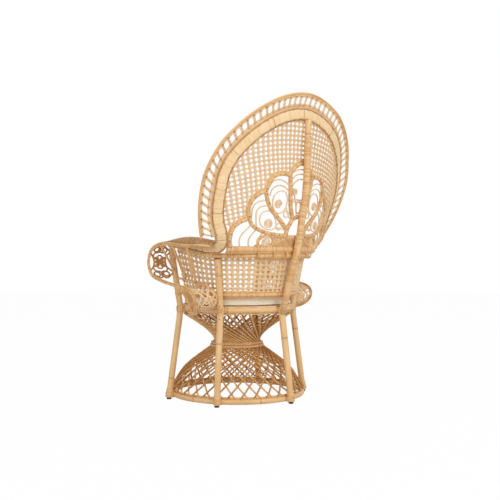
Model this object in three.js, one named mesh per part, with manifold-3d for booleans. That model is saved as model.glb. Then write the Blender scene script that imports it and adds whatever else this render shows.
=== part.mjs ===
// A rattan peacock chair: a round base and waisted cane pedestal, five poles, a tub of woven
// cane, scrolled arms and a tall fan back with a shell ornament, and a loose round cushion.
// Lengths are in millimetres. The chair faces -Y, the sitter's left is +X and Z is up.
import * as THREE from "three";
import { mergeVertices } from "three/addons/utils/BufferGeometryUtils.js";
import Module from "manifold-3d";

const wasm = await Module();
wasm.setup();

// Driving dimensions

// Touching pieces keep this clearance
const gap = 0.3;

const pole = { radius: 14.5, sides: 10 };
const rearPole = { radius: 15.5 };
const glide = { radius: 12.5, height: 6, sides: 12 };

// Angles are measured from the rear of the chair towards the sitter's left
const sidePoleAngle = 61;
const frontPoleAngle = 115;

const floorRing = { tube: 13, lift: 8, steps: 36, sides: 6 };
const poleFootRadius = 360;
const poleSeatRadius = 300.5;
const seatRingHeight = 447;
const seatRing = { tube: 14.5, steps: 36, sides: 6 };

// Pedestal of two crossing families of canes, one outside the other
const cane = { radius: 4.5, sides: 4 };
const canesInFamily = 34;
const throatRadius = 113;
const throatShare = 0.6197;
const throatHeight = throatShare * seatRingHeight;
// The hoop and the ends of the upper canes lie this far below the throat
const waist = { radius: 122, top: 3, bottom: 24, canes: 18, depth: 17, skirt: 8 };
const waistCaneHeight = throatHeight - waist.canes;
// A straight inner cane comes nearer the outer ones between its ends
const chordShare = 2.25;
const bellTwist = 70;
const bellSteps = 3;
// Hoop that binds the canes of one family together
const binding = { width: 7.5, depth: 8 };

// Seat
const deck = { thickness: 4, radius: 278, steps: 30 };
const seatBar = { radius: 9, offset: 110, sides: 8 };
const cushion = { radius: 268, thickness: 46, crown: 9, tuck: 7, steps: 28 };

// Tub of woven cane round the sitter
const tubRail = { radius: 12.5, height: 706.5, rise: 53, sideRadius: 346, rearExtra: 14.5, sides: 6, steps: 30 };
const tubEnd = 118;
const tubRiseEndAngle = 112;
// The lower rail lies this far above the seat ring
const tubFoot = { radius: 9.5, lift: 74.5, sideRadius: 286, rearExtra: 18.5, sides: 6, steps: 26 };
const tubWall = { thickness: 4, steps: 7, rows: 2, endAngle: 111 };

// Rear pole above the seat, as heights above the tub's rail and distances behind the axis
// Below the tub's rail the heights are shares of the way up from the seat ring
const rearPoleLowBehind = [314.5, 340, 365];
const rearPoleLowShares = [0.0886, 0.3699, 0.7399];
const rearPoleRoute = [
  [0, 390.4],
  [75.5, 410.5],
  [169.5, 426],
  [262.5, 445],
  [353.5, 456],
  [496.5, 461],
  [623.5, 465.5],
];

// Fan back: outlines are superellipses above the widest height and fall in below it
const fanPower = 1.8;
// Heights of the band above the tub's rail
const bandAbove = { top: 663, widest: 333.5, foot: 28.5 };
const band = {
  width: 52,
  depth: 25,
  halfWidth: 414,
  topZ: tubRail.height + bandAbove.top,
  widestZ: tubRail.height + bandAbove.widest,
  footZ: tubRail.height + bandAbove.foot,
  footDrop: 84,
};
const bandFootPower = 2.3;
// The rim lies outside the band by these distances
const rimOutside = { beside: 98, above: 92.5, widest: 5, foot: 45 };
const rim = {
  radius: 5,
  halfWidth: band.halfWidth + rimOutside.beside,
  topZ: band.topZ + rimOutside.above,
  widestZ: band.widestZ + rimOutside.widest,
  footZ: band.footZ + rimOutside.foot,
  footDrop: band.footDrop,
  sides: 4,
};
const rimFootPower = 2;
const rimDepth = { foot: 190, top: 477 };
const rimDepthShares = [
  [0, 0],
  [0.39, 0.36],
  [0.61, 0.57],
  [0.9, 0.935],
  [1, 1],
];
const laceSpokes = 52;
// The lace starts this far above the foot of the rim
const laceLift = 15;
const laceCane = { width: 8, thickness: 7, spoke: 0.26 };
const fanSteps = 38;

// Middle line of the fan's surface, as height above the tub's rail and distance behind the
// axis, and how far the surface comes forward at the band's half width
const fanProfile = [
  [-6.5, 360, 240],
  [28.5, 368.5, 226],
  [63.5, 378, 190],
  [99.5, 386, 163],
  [143.5, 393, 156],
  [223.5, 405, 136],
  [293.5, 415.5, 118],
  [378.5, 428, 108],
  [443.5, 431, 97],
  [493.5, 434, 83.5],
  [543.5, 438, 68.6],
  [593.5, 443.5, 51],
  [663, 450, 32],
  [763.5, 458, 26],
];
// The bar ends this far inside the band's middle line
const fanBar = { radius: 12.5, inset: 14, sides: 7, steps: 12 };
const fanBarHalf = band.halfWidth - band.footDrop - fanBar.inset;
const fanWeave = { thickness: 4, clearance: 4, least: 24 };
// The open weave has this many openings round the shell and out from it
const openingsAround = 12;
const openingsOut = 3;
const weaveBarShare = 0.35;

// Shell ornament, in shares of its half width and of its height above its centre
const shellWidthShare = 0.773;
const shell = {
  halfWidth: shellWidthShare * band.halfWidth,
  height: 345,
  lift: 65,
  frame: 7,
  cane: 3,
  eye: 18,
  eyeDepth: 9,
};
const shellCentre = band.footZ + shell.lift;
const hubShares = [
  [0.2, -0.02],
  [0.19, 0.1],
  [0.13, 0.2],
  [0, 0.27],
];
const petalArchShares = [
  [
    [0.25, 0.82],
    [0.17, 0.92],
    [0.08, 0.98],
    [0, 0.995],
  ],
  [
    [0.645, 0.59],
    [0.61, 0.69],
    [0.5, 0.805],
    [0.39, 0.823],
    [0.25, 0.82],
  ],
  [
    [0.83, 0.22],
    [0.862, 0.34],
    [0.84, 0.455],
    [0.76, 0.54],
    [0.645, 0.59],
  ],
  [
    [0.905, -0.17],
    [0.99, -0.06],
    [1, 0.06],
    [0.955, 0.14],
    [0.83, 0.22],
  ],
];
const dividerShares = [
  [
    [0.25, 0.82],
    [0.18, 0.42],
    [0.1, 0.235],
  ],
  [
    [0.645, 0.59],
    [0.57, 0.41],
    [0.4, 0.26],
    [0.18, 0.08],
  ],
  [
    [0.83, 0.22],
    [0.7, 0.09],
    [0.45, 0.025],
    [0.19, 0],
  ],
];
const petalCaneShares = [
  [
    [
      [0.2, 0.86],
      [0.09, 0.905],
      [0, 0.91],
    ],
    [
      [0.2, 0.64],
      [0.14, 0.74],
      [0, 0.78],
    ],
    [
      [0.17, 0.5],
      [0.08, 0.49],
      [0, 0.49],
    ],
  ],
  [
    [
      [0.595, 0.66],
      [0.52, 0.74],
      [0.4, 0.735],
      [0.24, 0.66],
    ],
    [
      [0.46, 0.36],
      [0.52, 0.52],
      [0.43, 0.6],
      [0.3, 0.58],
      [0.24, 0.47],
      [0.3, 0.3],
    ],
  ],
  [
    [
      [0.78, 0.17],
      [0.81, 0.34],
      [0.75, 0.43],
      [0.6, 0.47],
    ],
    [
      [0.6, 0.08],
      [0.68, 0.2],
      [0.67, 0.3],
      [0.56, 0.335],
      [0.45, 0.26],
      [0.4, 0.05],
    ],
  ],
  [
    [
      [0.76, 0.14],
      [0.88, 0.06],
      [0.9, -0.04],
      [0.82, -0.17],
    ],
    [
      [0.56, 0.05],
      [0.65, -0.03],
      [0.65, -0.1],
      [0.58, -0.18],
    ],
  ],
];
// Fine canes this near a frame, in shares, end on it
const tieReachShare = 0.08;
// The middle petal's eye lies left of its line, as woven
const eyeShares = [
  [0.115, 0.6],
  [0.41, 0.42],
  [0.54, 0.16],
  [0.52, -0.08],
];
const eyeSides = 10;
// A fine cane runs from each petal's root to behind its eye
const stemShares = [
  [
    [0.115, 0.6],
    [0.06, 0.44],
    [0.02, 0.25],
  ],
  [
    [0.41, 0.42],
    [0.3, 0.31],
    [0.12, 0.21],
  ],
  [
    [0.54, 0.16],
    [0.38, 0.13],
    [0.185, 0.08],
  ],
  [
    [0.52, -0.08],
    [0.36, -0.03],
    [0.2, -0.01],
  ],
];

// Scrolled arms. The outer rim is an S in a plane beside the seat. Heights of the arm are
// shares of the way from the seat ring up to the tub's rail
const arm = { outerX: 430, rimRadius: 6, sides: 5, steps: 30, scrollY: -98 };
const armSpan = tubRail.height - seatRingHeight;
const scrollRadiusShare = 0.343;
const scrollHeightShare = 0.8863;
const armLevel = (share) => seatRingHeight + share * armSpan;
const scrollRadius = scrollRadiusShare * armSpan;
const scrollZ = armLevel(scrollHeightShare);
const armRimTopPlaces = [
  [404, 232],
  [422, 186],
  [430, 80],
  [430, -25],
];
const armRimTopShares = [1.1599, 1.1869, 1.1946, 1.2293];
const armRimReturnPlaces = [
  [430, -10],
  [430, 60],
  [430, 115],
  [425, 137],
  [410, 130],
  [380, 100],
  [350, 58],
  [326, 10],
  [304, -28],
  [283, -50],
];
const armRimReturnShares = [0.4663, 0.4239, 0.3584, 0.2428, 0.1079, 0.0116, -0.027, -0.104, -0.0925, -0.0077];
const armRailPlaces = [
  [296, -129],
  [307, -100],
  [318, -37],
  [319, 37],
  [308, 95],
  [300, 130],
  [296, 153],
  [294, 138],
  [286, 108],
  [276, 82],
];
const armRailShares = [0.5896, 0.578, 0.5549, 0.4855, 0.447, 0.3776, 0.2428, 0.104, 0.0231, 0];
const raised = (places, shares) => places.map(([x, y], i) => [x, y, armLevel(shares[i])]);
const armRimTop = raised(armRimTopPlaces, armRimTopShares);
const armRimReturn = raised(armRimReturnPlaces, armRimReturnShares);
const armRailRoute = raised(armRailPlaces, armRailShares);
const armRail = { radius: 6, sides: 6 };
const strut = { radius: 5, sides: 6 };
const frontStrut = { topY: -101, lowY: -106 };
const middleStrut = { topY: -12, lowY: -37 };
const rearStrut = { topY: 88, lowY: 37 };
const armStruts = [frontStrut, middleStrut, rearStrut];
const pad = { thickness: 8, front: -88, rear: 236, steps: 9, rows: 5, rearX: 322 };
const padCrest = armLevel(1.3642);
const padRearZ = armLevel(1.0944);
const padInset = 5;
const padOverhang = 20;
const scrollCane = { radius: 3.5, sides: 4, steps: 9 };
// Scroll ornament in shares across from the inner edge to the rim and from bottom to top
const scrollShares = [
  [0, 0.84],
  [0.28, 0.98],
  [0.5, 0.93],
  [0.47, 0.8],
  [0.27, 0.77],
  [0.22, 0.66],
  [0.5, 0.5],
  [0.78, 0.34],
  [0.73, 0.23],
  [0.53, 0.2],
  [0.5, 0.07],
  [0.72, 0.02],
  [1, 0.16],
];

// Colours, roughness and metalness
const poleLook = { color: 0xe3b679, roughness: 0.55, metalness: 0 };
const caneLook = { color: 0xdcaa6b, roughness: 0.6, metalness: 0 };
const wrapLook = { color: 0xe6bd84, roughness: 0.6, metalness: 0 };
const weaveLook = { color: 0xe8c491, roughness: 0.7, metalness: 0 };
const clothLook = { color: 0xd9cbb6, roughness: 0.9, metalness: 0 };
const glideLook = { color: 0x4a3a30, roughness: 0.6, metalness: 0 };

// Derived sizes

const V = (x, y, z) => new THREE.Vector3(x, y, z);
const rad = THREE.MathUtils.degToRad;
const mix = THREE.MathUtils.lerp;
const floorRingHeight = floorRing.lift + floorRing.tube;
const poleLeanToSeat = (poleFootRadius - poleSeatRadius) / seatRingHeight;
const floorRingRadius = poleFootRadius - poleLeanToSeat * floorRingHeight - pole.radius - floorRing.tube - 2 * gap;
// Distance from the middle of a many-sided tube to its flats
const flatOf = (radius, sides) => radius * Math.cos(Math.PI / sides);
const familySpacing = 2 * cane.radius + gap;
const poleFootHeight = glide.height + poleLeanToSeat * rearPole.radius + gap;
const seatRingRadius = poleSeatRadius - pole.radius - seatRing.tube - gap;
const tubFootHeight = seatRingHeight + tubFoot.lift;
const chair = new THREE.Group();

// Point at an angle from the rear, a distance from the axis and a height
function polar(angle, radius, height) {
  return V(radius * Math.sin(rad(angle)), radius * Math.cos(rad(angle)), height);
}

// Value at a height in a table of rows that start with the height
function along(table, at, column) {
  const last = table.length - 1;
  let i = 0;
  while (i < last - 1 && at > table[i + 1][0]) i += 1;
  const share = THREE.MathUtils.clamp((at - table[i][0]) / (table[i + 1][0] - table[i][0]), 0, 1);
  return mix(table[i][column], table[i + 1][column], share);
}

// Smooth route through points, as evenly many steps
function smooth(points, steps) {
  return new THREE.CatmullRomCurve3(points, false, "centripetal").getSpacedPoints(steps);
}

// Solids

function indexed(positions, faces) {
  const geometry = new THREE.BufferGeometry();
  geometry.setAttribute("position", new THREE.Float32BufferAttribute(positions.flatMap((p) => p.toArray()), 3));
  geometry.setIndex(faces.flat());
  return geometry;
}

// Closed tube along a route. A closed route has no end caps
function tube(route, radius, sides, closed = false) {
  const count = route.length;
  const rings = [];
  let side = null;
  for (let i = 0; i < count; i += 1) {
    const before = closed ? route[(i + count - 1) % count] : route[Math.max(i - 1, 0)];
    const after = closed ? route[(i + 1) % count] : route[Math.min(i + 1, count - 1)];
    const way = after.clone().sub(before).normalize();
    if (side === null) {
      const rough = Math.abs(way.z) > 0.9 ? V(1, 0, 0) : V(0, 0, 1);
      side = rough.addScaledVector(way, -rough.dot(way)).normalize();
    } else {
      side = side.clone().addScaledVector(way, -side.dot(way)).normalize();
    }
    const across = way.clone().cross(side);
    const ring = [];
    for (let k = 0; k < sides; k += 1) {
      const turn = (2 * Math.PI * (k + 0.5)) / sides;
      const out = side.clone().multiplyScalar(Math.cos(turn)).addScaledVector(across, Math.sin(turn));
      ring.push(route[i].clone().addScaledVector(out, radius));
    }
    rings.push(ring);
  }
  return joinRings(rings, closed);
}

// Skin between rings of points that run anticlockwise seen against the route
function joinRings(rings, closed) {
  const sides = rings[0].length;
  const faces = [];
  const joints = closed ? rings.length : rings.length - 1;
  for (let i = 0; i < joints; i += 1) {
    const a = i * sides;
    const b = ((i + 1) % rings.length) * sides;
    for (let k = 0; k < sides; k += 1) {
      const n = (k + 1) % sides;
      faces.push([a + k, a + n, b + n], [a + k, b + n, b + k]);
    }
  }
  if (!closed) {
    const end = (rings.length - 1) * sides;
    for (let k = 1; k < sides - 1; k += 1) {
      faces.push([0, k + 1, k], [end, end + k, end + k + 1]);
    }
  }
  return indexed(rings.flat(), faces);
}

// Bar of a flat section along a route, whose depth lies along the given outward directions
function flatBar(route, outs, width, depth) {
  const corners = [
    [-0.5, 0],
    [-0.42, -0.5],
    [0.42, -0.5],
    [0.5, 0],
    [0.42, 0.5],
    [-0.42, 0.5],
  ];
  const rings = route.map((p, i) => {
    const way = route[Math.min(i + 1, route.length - 1)].clone().sub(route[Math.max(i - 1, 0)]).normalize();
    const out = outs[i].clone().addScaledVector(way, -outs[i].dot(way)).normalize();
    const across = out.clone().cross(way);
    return corners.map(([w, d]) => p.clone().addScaledVector(across, w * width).addScaledVector(out, d * depth));
  });
  return joinRings(rings, false);
}

// Sheet of even thickness over a grid of points, with holes where a cell is open
function sheet(grid, thickness, outward, open = () => false) {
  const rows = grid.length;
  const columns = grid[0].length;
  const points = [];
  for (const side of [1, -1]) {
    for (let i = 0; i < rows; i += 1) {
      for (let j = 0; j < columns; j += 1) {
        points.push(grid[i][j].clone().addScaledVector(outward(grid[i][j], i, j), (side * thickness) / 2));
      }
    }
  }
  const at = (s, i, j) => s * rows * columns + i * columns + j;
  const empty = (i, j) => i < 0 || j < 0 || i > rows - 2 || j > columns - 2 || open(i, j);
  const faces = [];
  const quad = (a, b, c, d) => faces.push([a, b, c], [a, c, d]);
  const wall = (i, j, k, l) => quad(at(0, k, l), at(0, i, j), at(1, i, j), at(1, k, l));
  for (let i = 0; i < rows - 1; i += 1) {
    for (let j = 0; j < columns - 1; j += 1) {
      if (empty(i, j)) continue;
      quad(at(0, i, j), at(0, i, j + 1), at(0, i + 1, j + 1), at(0, i + 1, j));
      quad(at(1, i, j), at(1, i + 1, j), at(1, i + 1, j + 1), at(1, i, j + 1));
      if (empty(i - 1, j)) wall(i, j, i, j + 1);
      if (empty(i + 1, j)) wall(i + 1, j + 1, i + 1, j);
      if (empty(i, j - 1)) wall(i + 1, j, i, j);
      if (empty(i, j + 1)) wall(i, j + 1, i + 1, j + 1);
    }
  }
  return indexed(points, faces);
}

// Turns every face over where a geometry came out inside out
function facingOut(geometry) {
  const p = geometry.attributes.position;
  const index = geometry.index.array;
  const corner = (i) => V(p.getX(i), p.getY(i), p.getZ(i));
  let volume = 0;
  for (let i = 0; i < index.length; i += 3) {
    volume += corner(index[i]).dot(corner(index[i + 1]).cross(corner(index[i + 2])));
  }
  return volume < 0 ? turnedOver(geometry) : geometry;
}

function turnedOver(geometry) {
  const index = Array.from(geometry.index.array);
  for (let i = 0; i < index.length; i += 3) {
    [index[i + 1], index[i + 2]] = [index[i + 2], index[i + 1]];
  }
  geometry.setIndex(index);
  return geometry;
}

function mirrored(geometry) {
  const copy = geometry.clone();
  copy.scale(-1, 1, 1);
  return turnedOver(copy);
}

// A lathe profile closes on itself, turned about the chair's axis
function turned(profile, steps) {
  const points = [...profile, profile[0]].map(([r, z]) => new THREE.Vector2(r, z));
  const geometry = new THREE.LatheGeometry(points, steps);
  geometry.rotateX(Math.PI / 2);
  return merged(geometry);
}

function merged(geometry) {
  geometry.deleteAttribute("normal");
  geometry.deleteAttribute("uv");
  const joined = mergeVertices(geometry, gap / 100);
  const index = Array.from(joined.index.array);
  const kept = [];
  for (let i = 0; i < index.length; i += 3) {
    const [a, b, c] = index.slice(i, i + 3);
    if (a !== b && b !== c && c !== a) kept.push(a, b, c);
  }
  joined.setIndex(kept);
  return facingOut(joined);
}

// Booleans

function solidOf(geometry) {
  const vertProperties = new Float32Array(geometry.attributes.position.array);
  const triVerts = new Uint32Array(geometry.index.array);
  return new wasm.Manifold(new wasm.Mesh({ numProp: 3, vertProperties, triVerts }));
}

function geometryOf(solid) {
  const mesh = solid.getMesh();
  const geometry = new THREE.BufferGeometry();
  geometry.setAttribute("position", new THREE.BufferAttribute(new Float32Array(mesh.vertProperties), mesh.numProp));
  geometry.setIndex(Array.from(mesh.triVerts));
  return geometry;
}

function joined(geometries) {
  return geometryOf(geometries.map(solidOf).reduce((all, one) => all.add(one)));
}

function cut(geometry, cutters) {
  return geometryOf(cutters.map(solidOf).reduce((left, cutter) => left.subtract(cutter), solidOf(geometry)));
}

function place(name, geometry, look) {
  const material = new THREE.MeshStandardMaterial(look);
  const mesh = new THREE.Mesh(facingOut(geometry), material);
  mesh.name = name;
  chair.add(mesh);
}

function placePair(name, geometry, look) {
  place(name + "_left", geometry, look);
  place(name + "_right", mirrored(facingOut(geometry)), look);
}

function circle(radius, height, steps) {
  const points = [];
  for (let i = 0; i < steps; i += 1) points.push(polar((360 * i) / steps, radius, height));
  return points;
}

// Base, poles and glides

const tubRailRadiusAt = (angle) => tubRail.sideRadius + tubRail.rearExtra * Math.cos(rad(angle)) ** 2;
const tubFootRadiusAt = (angle) => tubFoot.sideRadius + tubFoot.rearExtra * Math.cos(rad(angle)) ** 2;

// The rail climbs to the arm beyond the side poles
function tubRailHeightAt(angle) {
  const share = THREE.MathUtils.smoothstep(Math.abs(angle), sidePoleAngle, tubRiseEndAngle);
  return tubRail.height + tubRail.rise * share;
}

function poleRoute(angle) {
  const top = tubRailHeightAt(angle) - tubRail.radius - gap;
  return [
    polar(angle, poleFootRadius, poleFootHeight),
    polar(angle, poleSeatRadius, seatRingHeight),
    polar(angle, tubRailRadiusAt(angle), top),
  ];
}

function rearPoleRoutePoints(top) {
  const low = rearPoleLowBehind.map((y, i) => V(0, y, mix(seatRingHeight, tubRail.height, rearPoleLowShares[i])));
  const bend = rearPoleRoute.map(([up, y]) => V(0, y, tubRail.height + up));
  const foot = V(0, poleFootRadius, poleFootHeight);
  const seat = V(0, poleSeatRadius + rearPole.radius - pole.radius, seatRingHeight);
  return [foot, seat, ...low, ...bend, V(0, bend[bend.length - 1].y, top)];
}

function seatRingSolid(extra) {
  const ring = circle(seatRingRadius, seatRingHeight, seatRing.steps);
  return tube(ring, seatRing.tube + extra, seatRing.sides, true);
}

function makeBase() {
  const { tube: thick, steps, sides } = floorRing;
  place("base_ring", tube(circle(floorRingRadius, floorRingHeight, steps), thick, sides, true), poleLook);
  place("seat_ring", seatRingSolid(0), poleLook);
  placePair("front_pole", tube(poleRoute(frontPoleAngle), pole.radius, pole.sides), poleLook);
  placePair("side_pole", tube(poleRoute(sidePoleAngle), pole.radius, pole.sides), poleLook);
  const top = band.topZ - band.width / 2 - 5 * gap;
  place("rear_pole", tube(rearPoleRoutePoints(top), rearPole.radius, pole.sides), poleLook);
  const feet = { front_glide: frontPoleAngle, side_glide: sidePoleAngle };
  for (const [name, angle] of Object.entries(feet)) placePair(name, glideAt(angle), glideLook);
  place("rear_glide", glideAt(0), glideLook);
}

function glideAt(angle) {
  const geometry = new THREE.CylinderGeometry(glide.radius, glide.radius, glide.height, glide.sides);
  geometry.rotateX(Math.PI / 2);
  const at = polar(angle, poleFootRadius, glide.height / 2);
  geometry.translate(at.x, at.y, at.z);
  return merged(geometry);
}

// Pedestal canes. Level is 0 for the inner family and 1 for the outer one

// Straight canes from the seat ring past the throat form a hyperboloid
function funnelRoute(level) {
  const topRadius = seatRingRadius;
  const topHeight = seatRingHeight - seatRing.tube - cane.radius - gap - familySpacing;
  const reach = Math.sqrt(topRadius ** 2 - throatRadius ** 2);
  const climb = (topHeight - throatHeight) / reach;
  const past = (throatHeight - waistCaneHeight) / climb;
  return [reach, -past].map((s) => {
    const radius = Math.hypot(throatRadius, s);
    const steep = Math.atan2(climb * radius, Math.abs(s));
    const turn = Math.atan2(s, throatRadius) - Math.atan2(reach, throatRadius);
    const inward = (1 - level) * familySpacing * chordShare;
    const rise = Math.sign(s) * inward * Math.cos(steep);
    return [turn, radius - inward * Math.sin(steep), throatHeight + climb * s + rise];
  });
}

// Curved canes from the waist to the floor ring form a bell
function bellRoute(level) {
  const inner = (1 - level) * familySpacing;
  const topR = waist.radius - cane.radius - gap - inner * 0.53;
  const topZ = waistCaneHeight - familySpacing - inner * 1.02;
  const footR = floorRingRadius - inner * 1.12;
  const footZ = floorRingHeight + floorRing.tube + cane.radius + gap - inner * 0.26;
  const bowShares = [
    [0.38, 0.8],
    [0.86, 0.4],
  ];
  const bow = bowShares.map(([r, z]) => [mix(topR, footR, r), mix(footZ, topZ, z)]);
  const curve = new THREE.CubicBezierCurve(
    new THREE.Vector2(topR, topZ),
    new THREE.Vector2(...bow[0]),
    new THREE.Vector2(...bow[1]),
    new THREE.Vector2(footR, footZ),
  );
  const route = [];
  for (let i = 0; i <= bellSteps; i += 1) {
    const p = curve.getPoint(i / bellSteps);
    const height = (p.y - footZ) / (topZ - footZ);
    const turn = rad(bellTwist) * (1 - 0.45 * height - 0.55 * height ** 5);
    route.push([turn, p.x, p.y]);
  }
  return route;
}

// One family of canes, each turned round the axis, bound at the waist by a hoop
function caneFamily(route, way, waistEnd) {
  const pieces = [];
  for (let k = 0; k < canesInFamily; k += 1) {
    const start = (2 * Math.PI * (k + (way < 0 ? 0.5 : 0))) / canesInFamily;
    const points = route.map(([turn, r, z]) => {
      const a = start + way * turn;
      return V(r * Math.sin(a), r * Math.cos(a), z);
    });
    pieces.push(tube(points, cane.radius, cane.sides));
  }
  const [, radius, height] = waistEnd;
  const hoop = [-0.5, 0.5].flatMap((r) => [-0.5, 0.5].map((z) => [r, r < 0 ? z : -z]));
  const profile = hoop.map(([r, z]) => [radius + r * binding.depth, height + z * binding.width]);
  pieces.push(turned(profile, canesInFamily));
  return joined(pieces);
}

function makePedestal() {
  place("funnel_outer_canes", caneFamily(funnelRoute(1), 1, funnelRoute(1).pop()), caneLook);
  place("funnel_inner_canes", caneFamily(funnelRoute(0), -1, funnelRoute(0).pop()), caneLook);
  place("bell_outer_canes", caneFamily(bellRoute(1), -1, bellRoute(1)[0]), caneLook);
  place("bell_inner_canes", caneFamily(bellRoute(0), 1, bellRoute(0)[0]), caneLook);
  const { radius, depth, skirt } = waist;
  const hoopBottom = throatHeight - waist.bottom;
  const hoopTop = throatHeight - waist.top;
  const profile = [
    [radius, hoopBottom],
    [radius, hoopTop],
    [radius + depth * 0.6, hoopTop + gap],
    [radius + depth * 0.75, mix(hoopTop, hoopBottom, 0.5)],
    [radius + depth, hoopBottom - skirt * 0.3],
    [radius + depth * 0.85, hoopBottom - skirt * 0.9],
  ];
  place("waist_hoop", turned(profile, canesInFamily), wrapLook);
}

// Seat

function makeSeat() {
  const bottom = seatRingHeight + flatOf(seatRing.tube, seatRing.sides) + gap;
  const top = bottom + deck.thickness;
  const disc = new THREE.CylinderGeometry(deck.radius, deck.radius, deck.thickness, deck.steps);
  disc.rotateX(Math.PI / 2);
  disc.translate(0, 0, mix(bottom, top, 0.5));
  place("seat_deck", merged(disc), weaveLook);
  const inside = seatRingRadius - seatRing.tube;
  const reach = Math.sqrt(inside ** 2 - seatBar.offset ** 2) - seatBar.radius;
  const height = bottom - flatOf(seatBar.radius, seatBar.sides) - gap;
  const ends = [V(seatBar.offset, -reach, height), V(seatBar.offset, reach, height)];
  placePair("seat_bar", tube(ends, seatBar.radius, seatBar.sides), poleLook);
  place("seat_cushion", cushionSolid(top + gap), clothLook);
}

// Round pad: flat below, sides drawn in at the seams, crowned above
function cushionSolid(bottom) {
  const { radius, thickness, crown, tuck, steps } = cushion;
  const half = thickness / 2;
  const profile = [
    [0, bottom],
    [radius * 0.8, bottom],
    [radius - tuck, bottom + tuck * 0.3],
    [radius, bottom + half * 0.45],
    [radius - tuck * 0.25, bottom + half],
    [radius, bottom + half * 1.45],
    [radius - tuck, bottom + thickness],
    [radius * 0.8, bottom + thickness + crown * 0.45],
    [radius * 0.45, bottom + thickness + crown * 0.85],
    [0, bottom + thickness + crown],
  ];
  return turned(profile, steps);
}

// Tub

function arcRoute(from, to, steps, radiusAt, heightAt) {
  const points = [];
  for (let i = 0; i <= steps; i += 1) {
    const angle = mix(from, to, i / steps);
    points.push(polar(angle, radiusAt(angle), heightAt(angle)));
  }
  return points;
}

// Wall between two angles, standing on the lower rail and leaning out to the upper one
function wallSolid(from, to) {
  const grid = [];
  const { thickness, steps, rows } = tubWall;
  for (let i = 0; i <= steps; i += 1) {
    const angle = mix(from, to, i / steps);
    const foot = tubFootRadiusAt(angle);
    const head = tubRailRadiusAt(angle) - tubRail.radius - 4 * gap - thickness / 2;
    const low = tubFootHeight + flatOf(tubFoot.radius, tubFoot.sides) + gap;
    const high = tubRailHeightAt(angle);
    const column = [];
    for (let j = 0; j <= rows; j += 1) {
      column.push(polar(angle, mix(foot, head, j / rows), mix(low, high, j / rows)));
    }
    grid.push(column);
  }
  return sheet(grid, thickness, (p) => V(p.x, p.y, 0).normalize());
}

function makeTub() {
  const railRoute = arcRoute(-tubEnd, tubEnd, tubRail.steps, tubRailRadiusAt, tubRailHeightAt);
  place("tub_top_rail", tube(railRoute, tubRail.radius, tubRail.sides), wrapLook);
  const footHeight = () => tubFootHeight;
  const footRoute = arcRoute(-tubWall.endAngle, tubWall.endAngle, tubFoot.steps, tubFootRadiusAt, footHeight);
  place("tub_bottom_rail", tube(footRoute, tubFoot.radius, tubFoot.sides), wrapLook);
  const seam = 0.05;
  placePair("tub_rear_wall", wallSolid(seam, sidePoleAngle - seam), weaveLook);
  placePair("tub_side_wall", wallSolid(sidePoleAngle + seam, tubWall.endAngle), weaveLook);
}

// Fan back

// Half width of an outline at a height
function halfWidthAt(outline, footPower, z) {
  const { halfWidth, topZ, widestZ, footZ, footDrop } = outline;
  if (z < widestZ) return halfWidth - footDrop * ((widestZ - z) / (widestZ - footZ)) ** footPower;
  return halfWidth * Math.max(1 - ((z - widestZ) / (topZ - widestZ)) ** fanPower, 0) ** (1 / fanPower);
}

// Depth of the fan's surface, which comes forward to the sides
function fanDepth(x, z) {
  const up = z - tubRail.height;
  return along(fanProfile, up, 1) - along(fanProfile, up, 2) * (x / band.halfWidth) ** 2;
}

const onFan = (x, z, behind = 0) => V(x, fanDepth(x, z) + behind, z);

function fanOutward(p) {
  const slope = (2 * along(fanProfile, p.z - tubRail.height, 2) * p.x) / band.halfWidth ** 2;
  return V(slope, 1, 0).normalize();
}

// Outline from the left foot over the top to the right foot, at shares of its length
function outlineRoute(outline, footPower, depthAt, shares, startZ = outline.footZ) {
  const half = [];
  const low = 12;
  for (let i = 0; i < low; i += 1) {
    const z = mix(startZ, outline.widestZ, i / low);
    half.push([halfWidthAt(outline, footPower, z), z]);
  }
  const high = 40;
  for (let i = 0; i <= high; i += 1) {
    const turn = (Math.PI / 2) * (i / high);
    const x = outline.halfWidth * Math.cos(turn) ** (2 / fanPower);
    const z = outline.widestZ + (outline.topZ - outline.widestZ) * Math.sin(turn) ** (2 / fanPower);
    half.push([Math.max(x, 0), z]);
  }
  const left = half.map(([x, z]) => V(x, depthAt(x, z), z));
  const right = left.slice(0, -1).reverse().map((p) => V(-p.x, p.y, p.z));
  return pointsAt([...left, ...right], shares);
}

// Points at shares of the whole length of a route
function pointsAt(points, shares) {
  const lengths = [0];
  for (let i = 1; i < points.length; i += 1) lengths.push(lengths[i - 1] + points[i].distanceTo(points[i - 1]));
  const total = lengths[lengths.length - 1];
  let k = 0;
  return shares.map((share) => {
    while (k < points.length - 2 && lengths[k + 1] < total * share) k += 1;
    return points[k].clone().lerp(points[k + 1], (total * share - lengths[k]) / (lengths[k + 1] - lengths[k]));
  });
}

function evenShares(steps) {
  return Array.from({ length: steps + 1 }, (unused, i) => i / steps);
}

// Route moved outward in the fan's own plane by a distance
function outset(route, by, depthAt) {
  return route.map((p, i) => {
    const way = route[Math.min(i + 1, route.length - 1)].clone().sub(route[Math.max(i - 1, 0)]);
    const length = Math.hypot(way.x, way.z);
    const x = p.x + (by * way.z) / length;
    const z = p.z - (by * way.x) / length;
    return V(x, depthAt(x, z), z);
  });
}

function rimDepthAt(x, z) {
  const share = (z - rim.footZ) / (rim.topZ - rim.footZ);
  return mix(rimDepth.foot, rimDepth.top, along(rimDepthShares, share, 1));
}

const bandRoute = outlineRoute(band, bandFootPower, fanDepth, evenShares(fanSteps));
const bandSolid = (extra) => flatBar(bandRoute, bandRoute.map(fanOutward), band.width + extra, band.depth + extra);

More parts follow.
